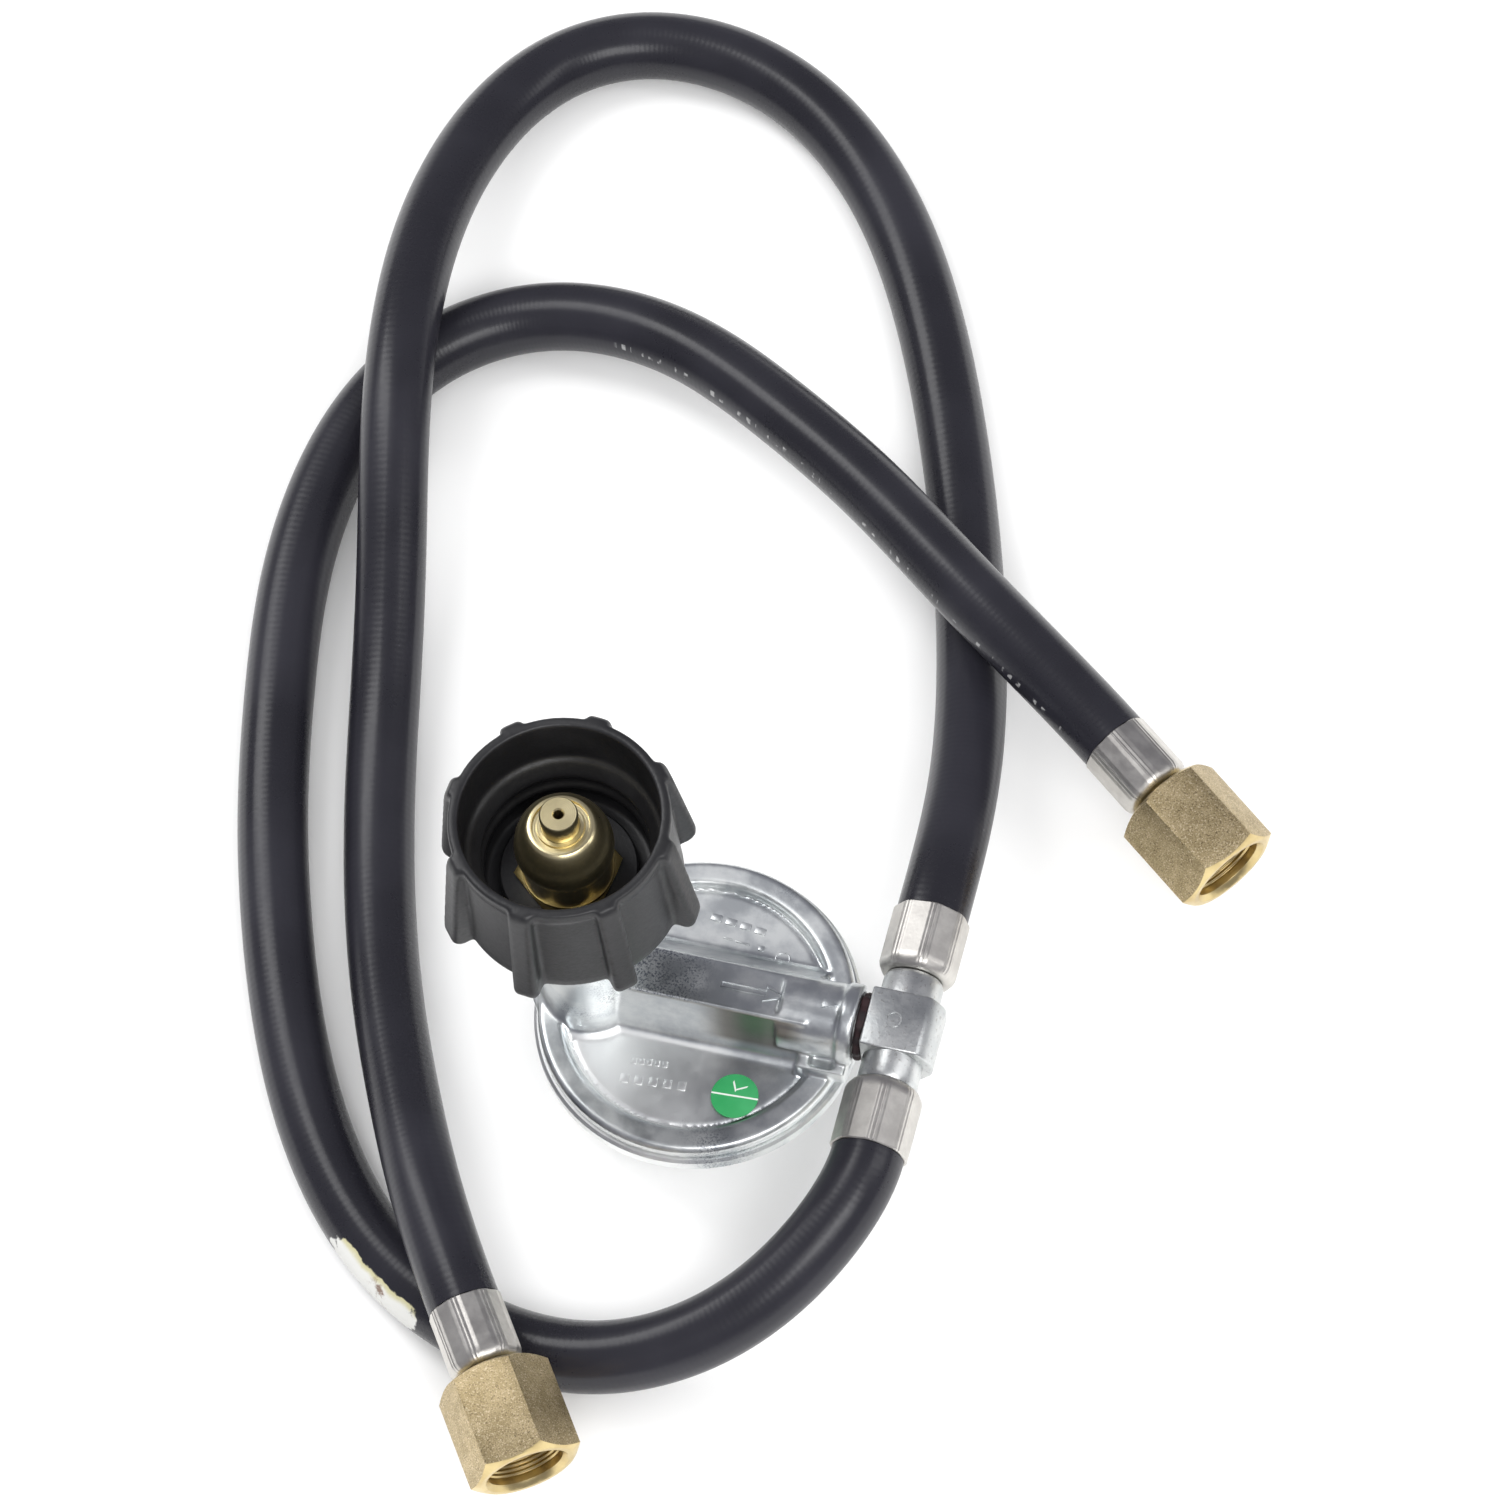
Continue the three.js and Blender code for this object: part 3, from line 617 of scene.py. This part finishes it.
for x, y in ((14.5, 14.5), (-20, 14.0)):
    ring = turned([(1.3, 0), (1.6, 0), (1.6, 0.4), (1.3, 0.4)], 32)
    marks.append(moved(ring, x=x, y=y, z=MARK_FOOT))
triangle = extruded([(-1.6, -1.2), (1.6, 0), (-1.6, 1.2)], 0.7)
marks.append(moved(triangle, x=29.2, z=OUTLET_Z + 7.3))
marks = rounded(together(*marks), 0.08, segments=2)
finished("cast_marks", marks, [zinc], "regulator")

# ---------------------------------------------------------------- inspection sticker
# A round self-adhesive dot of green film with a white line across it, pressed on by hand after the
# pressure test. A plain white tick stands where an inspector's mark would be.

STICKER_X = 12.6
STICKER_Y = -17.8
sticker = rounded(disc(4.9, 24.8, 25.0, 72), 0.05, segments=2)
sticker = moved(sticker, x=STICKER_X, y=STICKER_Y)
film = Finish("green_film", Roughness=0.38)
shift = (-STICKER_X * MM, -STICKER_Y * MM, 0)
spot = film.start.node("ShaderNodeVectorMath", {0: film.place(), 1: shift}, operation="ADD")
east = spot.node("ShaderNodeSeparateXYZ", {0: spot}, output=0)
north = spot.node("ShaderNodeSeparateXYZ", {0: spot}, output=1)
slant = east * 0.94 - north * 0.34
rise = east * 0.34 + north * 0.94
across = rise - slant * 0.42
line = across.size().between(0.00024, 0.00016)
short_leg = ((slant + 0.0012) + (rise - 0.0018)).size().between(0.0003, 0.0002)
short_leg = short_leg * slant.between(-0.0021, -0.0019) * slant.between(-0.0003, -0.0005)
long_leg = ((rise - 0.0012) - (slant + 0.0006) * 1.1).size().between(0.0003, 0.0002)
long_leg = long_leg * slant.between(-0.0006, -0.0004) * slant.between(0.0012, 0.001)
white = line.greater(short_leg.greater(long_leg))
green = film.noise(180.0, 2.0).mix((0.02, 0.30, 0.085), (0.055, 0.42, 0.15))
film.feed("Base Color", white.mix(green, (0.8, 0.85, 0.8)))
film.bump(film.noise(700.0, 2.0), 0.00002)
finished("round_sticker", sticker, [film.material], "regulator", ["qc_sticker"])

# ---------------------------------------------------------------- lower housing and closing cap
# The bonnet is the second die casting. It clamps the diaphragm under the cover, tapers to the spring
# tower, and has a vent boss with a wire screen. The cap screws into the tower and has a coin slot.

bonnet = turned(
    [
        (10.6, 3.3),
        (14.1, 3.3),
        (14.5, 3.8),
        (14.5, 7.2),
        (15.2, 8.2),
        (16.5, 9),
        (29.5, 16.2),
        (31, 17.6),
        (31.3, 18.6),
        (33.4, 18.8),
        (34, 19.4),
        (34, 21.9),
        (33.4, 22.5),
        (31.3, 22.5),
        (31.3, 21.1),
        (28.5, 21.1),
        (28.5, 18),
        (14, 11.2),
        (10.6, 9.6),
    ],
    128,
)
vent_boss = turned([(2.3, 9), (3.9, 9), (4.2, 9.3), (4.3, 16.2), (2.3, 16.2)], 48)
vent_boss = moved(vent_boss, x=-16, y=-16)
housing = together(bonnet, vent_boss)
finished("lower_housing", housing, [zinc], "regulator", ["bonnet"])

CAP_KNURLS = 60
KNURL_SHARE = 0.985
cap = turned(
    [
        (0, 0),
        (14.9, 0),
        (15.5, 0.5),
        (15.5, 2.6),
        (15.1, 3),
        (10.3, 3),
        (10.3, 5.4),
        (0, 5.4),
    ],
    2 * CAP_KNURLS,
)
for vertex in cap.verts:
    step = round(math.atan2(vertex.co.y, vertex.co.x) / (math.pi / CAP_KNURLS))
    if math.hypot(vertex.co.x, vertex.co.y) > 15.3 * MM and step % 2:
        vertex.co.x *= KNURL_SHARE
        vertex.co.y *= KNURL_SHARE
slot_cut = block((-11, -1.1, -1), (11, 1.1, 1.2))
finished("closing_cap", carved((cap,), (slot_cut,)), [zinc], "regulator", ["bonnet_cap"])

# ---------------------------------------------------------------- coupling nut
# Moulded black nylon hand nut that screws on to the cylinder valve. Eight finger ribs grow out of its
# skirt, its mouth is a plain collar, and the coarse thread starts below a wide chamfer.

skirt = turned(
    [
        (10.3, 72.5),
        (21.6, 72.5),
        (22.8, 73.6),
        (22.9, 76),
        (21.9, 100.4),
        (22.15, 100.8),
        (22.15, 103.1),
        (21.8, 103.5),
        (20.2, 103.5),
        (20.0, 103.2),
        (20.0, 91.2),
        (19.8, 90.6),
        (18.9, 90.2),
        (16.9, 87.6),
        (16.7, 86.7),
        (17.9, 86.0),
        (17.9, 83.6),
        (16.7, 82.9),
        (16.7, 81.7),
        (17.9, 81.0),
        (17.9, 78.6),
        (16.7, 77),
        (10.3, 77),
    ],
    128,
)
UPRIGHT = Matrix(((1, 0, 0, 0), (0, 0, -1, 0), (0, 1, 0, 0), (0, 0, 0, 1)))
RIBS = 8
FIRST_RIB = 40
RIB_WIDTH = 5.0
RIB_SIDE = [
    (20.8, 73.2),
    (24.6, 72.8),
    (26.0, 73.3),
    (26.9, 74.6),
    (27.1, 76.4),
    (26.8, 79.0),
    (24.0, 100.6),
    (23.6, 102.2),
    (22.8, 103.3),
    (21.2, 103.5),
]
hand_nut = [moved(skirt, x=INLET_X)]
for count in range(RIBS):
    rib = rounded(moved(extruded(RIB_SIDE, RIB_WIDTH), z=-RIB_WIDTH / 2), 2.1, 60, 5)
    swing = Matrix.Rotation(math.radians(FIRST_RIB + 360 / RIBS * count), 4, "Z")
    hand_nut.append(moved(rib, x=INLET_X, turn=swing @ UPRIGHT))
hand_nut = carved(hand_nut, grain=0.42, passes=3)

nylon = Finish("black_nylon", IOR=1.5)
moulded = nylon.noise(1100.0, 3.0, 0.6)
scuffs = nylon.noise(60.0, 4.0, 0.6)
black = scuffs.between(0.4, 0.75).mix((0.0115, 0.0115, 0.013), (0.022, 0.022, 0.024))
nylon.feed("Base Color", black)
nylon.feed("Roughness", moulded * 0.2 + scuffs * 0.1 + 0.26)
nylon.bump(moulded * 0.8 + scuffs * 0.2, 0.00006)
finished(
    "hand_nut", hand_nut, [nylon.material], "coupling", ["coupling_nut"], smooth=0
)

# ---------------------------------------------------------------- inlet nipple
# Machined brass: a hexagon for the spanner, a rounded nose that seals in the valve, and a short
# spring-loaded tip with a drilled hole, which is the flow limiter. A black heat bushing sits under it.


def hexagon(across_flats, low, high, chamfer, turn):
    """A hexagon bar with turned corners and a flat that faces turn degrees."""
    corner = across_flats / math.sqrt(3)
    bar = turned([(0, low), (corner, low), (corner, high), (0, high)], 6)
    bar = moved(bar, turn=Matrix.Rotation(math.radians(turn + 30), 4, "Z"))
    barrel = turned(
        [
            (0, low),
            (corner - 1.7 * chamfer, low),
            (corner + 0.1, low + chamfer),
            (corner + 0.1, high - chamfer),
            (corner - 1.7 * chamfer, high),
            (0, high),
        ]
    )
    return carved((bar,), shared=(barrel,))


def machined_brass(name, centre, axis, light, dark):
    """Bright turned brass with fine tool rings about its own axis, and a little tarnish."""
    finish = Finish(name, Metallic=1.0)
    way = Vector(axis).normalized()
    shift = tuple(-v * MM for v in centre)
    point = finish.start.node("ShaderNodeVectorMath", {0: finish.place(), 1: shift}, operation="ADD")
    dot = {"output": 1, "operation": "DOT_PRODUCT"}
    height = point.node("ShaderNodeVectorMath", {0: point, 1: tuple(way)}, **dot)
    square = point.node("ShaderNodeVectorMath", {0: point, 1: point}, **dot)
    radius = (square - height * height).size().root()
    rings = (radius * 16000.0 + height * 9000.0).sine() * 0.5 + 0.5
    tarnish = finish.noise(140.0, 4.0, 0.6)
    fine = finish.noise(1600.0, 2.0)
    colour = tarnish.between(0.35, 0.75).mix(light, dark)
    finish.feed("Base Color", colour)
    finish.feed("Roughness", tarnish * 0.12 + fine * 0.06 + 0.22)
    finish.bump(rings * 0.9 + fine * 0.1, 0.000008)
    return finish.material


nipple_brass = machined_brass(
    "machined_brass", (INLET_X, 0, 90), (0, 0, 1), (0.87, 0.76, 0.46), (0.70, 0.60, 0.34)
)
nipple_hex = hexagon(19.05, 80.6, 88.6, 0.9, -9)
nose = turned(
    [
        (3, 58.5),
        (6.6, 58.5),
        (6.6, 80.9),
        (9.2, 80.9),
        (9.2, 87.8),
        (9.3, 88.9),
        (9.75, 89.6),
        (10.0, 90.6),
        (10.0, 91.6),
        (9.9, 92.7),
        (9.65, 94.0),
        (9.25, 95.3),
        (8.7, 96.6),
        (8.0, 97.8),
        (7.2, 98.9),
        (6.75, 99.35),
        (6.45, 99.5),
        (5.85, 99.5),
        (5.7, 98.9),
        (4.9, 98.9),
        (4.75, 99.5),
        (3.96, 99.5),
        (3.96, 97.5),
        (5.3, 97.5),
        (5.3, 79.6),
        (3, 79.6),
    ],
    128,
)
nipple = moved(together(nipple_hex, nose), x=INLET_X)
finished("inlet_nipple_brass", nipple, [nipple_brass], "regulator", ["inlet_nipple"])

tip = turned(
    [
        (1, 94.2),
        (5, 94.2),
        (5, 97.2),
        (3.88, 97.2),
        (3.88, 104.3),
        (3.6, 104.7),
        (1.25, 104.7),
        (1, 104.4),
    ],
    96,
)
tip = moved(tip, x=INLET_X)
finished("limiter_tip", tip, [nipple_brass], "flow_check", ["flow_check_tip"])

bushing = turned(
    [
        (6.9, 72.6),
        (9.9, 72.6),
        (9.9, 77.3),
        (13.7, 77.3),
        (14, 77.6),
        (14, 79.9),
        (13.6, 80.3),
        (6.9, 80.3),
    ],
    96,
)
bushing = moved(bushing, x=INLET_X)
finished("heat_bushing", bushing, [nylon.material], "regulator", ["thermal_bushing"])

# ---------------------------------------------------------------- thread sealant
# Dark red pipe dope, brushed on the male thread before assembly, squeezed out between the casting and
# the tee as an uneven bead that has dried. Its colour is the dope's dark red and painted shade for the
# narrow gap.

bead = turned(
    [(6.3, 0.0), (6.7, 0.05), (6.95, 0.4), (6.95, 0.9), (6.85, 1.35), (6.6, 1.7), (6.3, 1.7)], 96
)
for vertex in bead.verts:
    angle = math.atan2(vertex.co.y, vertex.co.x)
    if math.hypot(vertex.co.x, vertex.co.y) > 0.0065:
        swell = 1 + 0.025 * math.sin(7 * angle + 1) + 0.02 * math.sin(13 * angle)
        vertex.co.x *= swell
        vertex.co.y *= swell
bead = moved(bead, x=34.9, z=OUTLET_Z, turn=ALONG_X)
dope = Finish("dried_dope")
smear = dope.noise(500.0, 4.0, 0.6)
# Painted shade: the dope's red is made very dark to stand for the shade in the narrow gap.
dope.feed("Base Color", smear.between(0.35, 0.7).mix((0.009, 0.003, 0.0045), (0.03, 0.008, 0.010)))
dope.feed("Roughness", smear * 0.3 + 0.5)
dope.bump(smear, 0.0001)
finished("sealant_bead", bead, [dope.material], "regulator", ["thread_sealant"])

# ---------------------------------------------------------------- outlet tee
# A forged steel tee, zinc plated to a dull grey: a square block with a bulged back, turned collars on
# its run, and tails that the ferrules hide in the hoses. A raised ring marks its top.

TEE_X = 43.5
forged = extruded(
    [
        (36.6, 25.9),
        (48.0, 25.9),
        (49.2, 26.6),
        (51.2, 29.4),
        (51.6, 30.4),
        (51.6, 34.6),
        (51.2, 35.6),
        (49.2, 38.6),
        (48.2, 39.1),
        (36.6, 39.1),
    ],
    13.2,
)
forged = moved(rounded(forged, 0.45, 50, 3), y=6.6, turn=UPRIGHT)
male = moved(disc(6.0, 0, 9.6, 64), x=28, z=OUTLET_Z, turn=ALONG_X)
branches = []
for side in (1, -1):
    branch = turned(
        [
            (3, 5),
            (6.3, 5),
            (6.3, 11.2),
            (5.9, 12.1),
            (4.4, 12.1),
            (4.4, 25.9),
            (3, 25.9),
        ],
        72,
    )
    swing = Matrix.Rotation(-side * math.pi / 2, 4, "X")
    branches.append(moved(branch, x=TEE_X, z=OUTLET_Z, turn=swing))
way_x = moved(disc(3, 0, 17, 48), x=27, z=OUTLET_Z, turn=ALONG_X)
way_y = moved(disc(3, -8, 8, 48), x=TEE_X, z=OUTLET_Z, turn=Matrix.Rotation(math.pi / 2, 4, "X"))
ring_mark = moved(turned([(1.35, 0), (1.75, 0), (1.7, 0.4), (1.4, 0.4)], 48), x=42.4, z=38.9)
tee = carved((forged, male), (way_x, way_y))
tee = together(tee, *branches, ring_mark)

tee_zinc = Finish("dull_zinc_plate", Metallic=1.0)
bloom = tee_zinc.noise(170.0, 5.0, 0.65)
speck = tee_zinc.noise(1300.0, 2.0, 0.6)
plate_colour = bloom.between(0.35, 0.7).mix((0.55, 0.57, 0.57), (0.72, 0.73, 0.72))
plate_colour = (speck.between(0.6, 0.7) * 0.4).mix(plate_colour, (0.26, 0.24, 0.22))
tee_zinc.feed("Base Color", plate_colour)
tee_zinc.feed("Roughness", bloom * 0.2 + speck * 0.12 + 0.22)
tee_zinc.bump(bloom * 0.5 + speck * 0.5, 0.00007)
finished("tee_block", tee, [tee_zinc.material], "regulator", ["tee_fitting"])

# ---------------------------------------------------------------- crimped ferrules
# Nickel-plated steel sleeves swaged on to the hoses by eight jaws, which leave eight shallow flats
# with a pair of witness lines between neighbours. The end at the fitting is rolled in.

nickel = Finish("satin_nickel", Metallic=1.0)
drag = nickel.noise(260.0, 4.0, 0.6)
grit = nickel.noise(1500.0, 2.0)
nickel.feed("Base Color", drag.between(0.3, 0.75).mix((0.54, 0.52, 0.49), (0.68, 0.66, 0.62)))
nickel.feed("Roughness", drag * 0.16 + grit * 0.12 + 0.26)
nickel.bump(drag * 0.5 + grit * 0.5, 0.00003)


def ferrule(radius, length, first_flat, depth):
    """A sleeve along Z: open at the hose end at 0, rolled in at the other. depth is of its flats."""
    bore = 4.9
    ring = 0.55
    profile = [(bore, 0), (radius - 0.25, 0), (radius, 0.25)]
    profile += [(radius, 0.9 + ring * i) for i in range(int((length - 3.4) / ring))]
    profile += [
        (radius, length - 2.2),
        (radius - 0.25, length - 1.3),
        (radius - 0.8, length - 0.5),
        (radius - 1.7, length),
        (bore, length),
    ]
    jaw = 45
    bm = turned(profile, 360)
    for vertex in bm.verts:
        out = math.hypot(vertex.co.x, vertex.co.y) / MM
        if out < radius - 1.9:
            continue
        angle = math.degrees(math.atan2(vertex.co.y, vertex.co.x)) - first_flat
        off = (angle + jaw / 2) % jaw - jaw / 2
        flat = (radius - depth) / math.cos(math.radians(off))
        witness = max(0.0, 1 - abs(abs(off) - 19.5) / 1.7) * 0.12
        pressed = min(1.0, (length - vertex.co.z / MM) / 1.6)
        scale = 1 + ((min(radius, flat) + witness) / radius - 1) * pressed
        vertex.co.x *= scale
        vertex.co.y *= scale
    return bm


TEE_COLLAR_END = 12.4
for letter, side, turn, hose_end in (("a", 1, 12, 26.95), ("b", -1, 30, 27.4)):
    sleeve = ferrule(8.0, hose_end - TEE_COLLAR_END, turn, 0.24)
    swing = Matrix.Rotation(side * math.pi / 2, 4, "X")
    sleeve = moved(sleeve, x=TEE_X, y=side * hose_end, z=OUTLET_Z, turn=swing)
    replaced = [f"tee_ferrule_{letter}"]
    sleeve = finished(
        f"tee_sleeve_{letter}", sleeve, [nickel.material], "regulator", replaced
    )

# ---------------------------------------------------------------- hose ends
# Each hose ends in a ferrule, a brass barbed stem with a flared nose, and a swivel nut of forged
# brass: blasted flats, turned chamfers, and a fine thread inside its mouth.

END_FERRULE = 14.7
END_GAP = 0.3
NUT_START = END_FERRULE + END_GAP + 0.9
NUT_LENGTH = 21.5
NUT_ACROSS = 20.8
THREAD_CREST = 7.9
THREAD_ROOT = 8.2
THREAD_PITCH = 0.95
LIP = 0.25


def blasted_brass(name):
    """Shot-blasted forging: dull olive brass with a coarse sparkle of bright and dark grains."""
    finish = Finish(name, Metallic=1.0)
    grains = finish.noise(3000.0, 2.0, 0.7)
    clump = finish.noise(300.0, 3.0)
    colour = clump.between(0.3, 0.75).mix((0.42, 0.33, 0.18), (0.55, 0.44, 0.26))
    colour = (grains.between(0.55, 0.68) * 0.8).mix(colour, (0.86, 0.76, 0.56))
    colour = (grains.between(0.45, 0.33) * 0.8).mix(colour, (0.13, 0.10, 0.06))
    finish.feed("Base Color", colour)
    finish.feed("Roughness", grains * 0.25 + 0.36)
    finish.bump(grains * 0.8 + clump * 0.2, 0.00008)
    return finish.material


blasted = blasted_brass("blasted_brass")
for letter, turn in (("a", 14.7), ("b", 26.1)):
    piece, route, length, centreline = hoses[letter]
    before, end = (Vector(point) for point in route[-2:])
    way = (end - before).normalized()
    start = end + way * END_GAP
    lie = Vector((0, 0, 1)).rotation_difference(way).to_matrix().to_4x4()
    turned_brass = machined_brass(
        f"turned_brass_{letter}", start, way, (0.66, 0.53, 0.27), (0.50, 0.38, 0.18)
    )

    sleeve = ferrule(7.7, END_FERRULE + LIP, turn + 12, 0.14)
    sleeve = moved(sleeve, *(start - way * LIP), turn=lie)
    replaced = [f"end_ferrule_{letter}"]
    sleeve = finished(
        f"end_sleeve_{letter}", sleeve, [nickel.material], "regulator", replaced
    )

    neck_end = NUT_START + 3.3
    stem = turned(
        [
            (2.6, 0.4),
            (4.4, 0.4),
            (4.4, END_FERRULE + END_GAP),
            (5.1, END_FERRULE + END_GAP),
            (5.3, END_FERRULE + 0.5),
            (5.3, neck_end),
            (7.4, neck_end),
            (7.4, neck_end + 1.6),
            (3.5, neck_end + 5.5),
            (2.6, neck_end + 5.6),
        ]
    )
    stem = moved(stem, *start, turn=lie)
    stem = finished(
        f"barbed_stem_{letter}", stem, [turned_brass], "regulator", [f"hose_stem_{letter}"]
    )

    nut_end = NUT_START + NUT_LENGTH
    bore = [(0, NUT_START + 3), (THREAD_CREST, NUT_START + 3)]
    height = NUT_START + 6
    while height < nut_end - 2.2:
        bore += [(THREAD_CREST, height), (THREAD_ROOT, height + 0.3)]
        bore += [(THREAD_ROOT, height + 0.4), (THREAD_CREST, height + 0.7)]
        height += THREAD_PITCH
    bore += [(THREAD_CREST, nut_end - 1.1), (8.9, nut_end + 0.05)]
    bore += [(8.9, nut_end + 1), (0, nut_end + 1)]
    nut = hexagon(NUT_ACROSS, NUT_START, nut_end, 1.3, turn)
    nut = carved((nut,), (turned(bore), disc(5.6, NUT_START - 1, NUT_START + 4)))
    for face in nut.faces:
        middle = face.calc_center_median()
        outside = math.hypot(middle.x, middle.y) > 8.95 * MM
        face.material_index = 0 if outside and abs(face.normal.z) < 0.15 else 1
    nut = rounded(nut, 0.18, 25, 2)
    nut = moved(nut, *start, turn=lie)
    nut = finished(
        f"swivel_nut_{letter}",
        nut,
        [blasted, turned_brass],
        f"flare_{letter}",
        [f"flare_nut_{letter}"],
    )
    [v * MM for v in route[0]]
    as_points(centreline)

# ---------------------------------------------------------------- springs
# Two coils of plated wire. The wide one holds the diaphragm up from the setting screw, and the narrow
# one holds the limiter out of the nipple.

inner_steel = Finish("plain_steel", Metallic=1.0)
mill = inner_steel.noise(400.0, 3.0)
inner_steel.feed("Base Color", mill.mix((0.42, 0.42, 0.42), (0.62, 0.61, 0.6)))
inner_steel.feed("Roughness", mill * 0.2 + 0.25)
inner_steel.bump(mill, 0.00002)


def coil(radius, wire, low, high, turns):
    """Round wire of that radius, wound about Z between two heights, with closed ends."""
    bm = bmesh.new()
    upright = Matrix.Rotation(math.pi / 2, 4, "X")
    start = Matrix.Translation((radius * MM, 0, low * MM)) @ upright
    bmesh.ops.create_circle(bm, cap_ends=True, segments=16, radius=wire * MM, matrix=start)
    steps = 48 * turns
    bmesh.ops.spin(
        bm,
        geom=bm.verts[:] + bm.edges[:] + bm.faces[:],
        cent=(0, 0, 0),
        axis=(0, 0, 1),
        dvec=(0, 0, (high - low) * MM / steps),
        angle=2 * math.pi * turns,
        steps=steps,
        use_merge=False,
        use_duplicate=False,
    )
    bmesh.ops.recalc_face_normals(bm, faces=bm.faces)
    return bm


for name, node, joint, x, travel, radius, wire, foot, head, turns in (
    ("pressure_spring", "main_spring", "diaphragm_slide", 0, 1.6, 7, 0.7, 8.6, 19.9, 5),
    ("limiter_spring", "flow_check_spring", "flow_check_slide", INLET_X, 2.5, 3.8, 0.45, 80, 93.85, 6),
):
    wound = moved(coil(radius, wire, foot + wire, head - wire, turns), x=x)
    wound = finished(name, wound, [inner_steel.material], "regulator", [node])
    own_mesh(wound)

# ---------------------------------------------------------------- inner works
# Out of sight in the casting: zinc-plated plate, stem and lever, a moulded rubber diaphragm, and the
# brass valve. They keep their shapes and get their own finishes.

inner_rubber = Finish("moulded_rubber")
talc = inner_rubber.noise(300.0, 4.0)
inner_rubber.feed("Base Color", talc.mix((0.015, 0.015, 0.015), (0.05, 0.05, 0.05)))
inner_rubber.feed("Roughness", talc * 0.2 + 0.6)
inner_rubber.bump(talc, 0.00004)
inner_finishes = {
    inner_steel.material: [
        "vent_screen",
        "adjusting_screw",
        "diaphragm_plate",
        "diaphragm_stem",
        "lever",
        "lever_pin",
    ],
    inner_rubber.material: ["diaphragm", "valve_disc"],
    nipple_brass: ["valve_holder", "orifice"],
}
for material, nodes in inner_finishes.items():
    for node in nodes:
        bpy.data.objects[node].data.materials.clear()
        bpy.data.objects[node].data.materials.append(material)
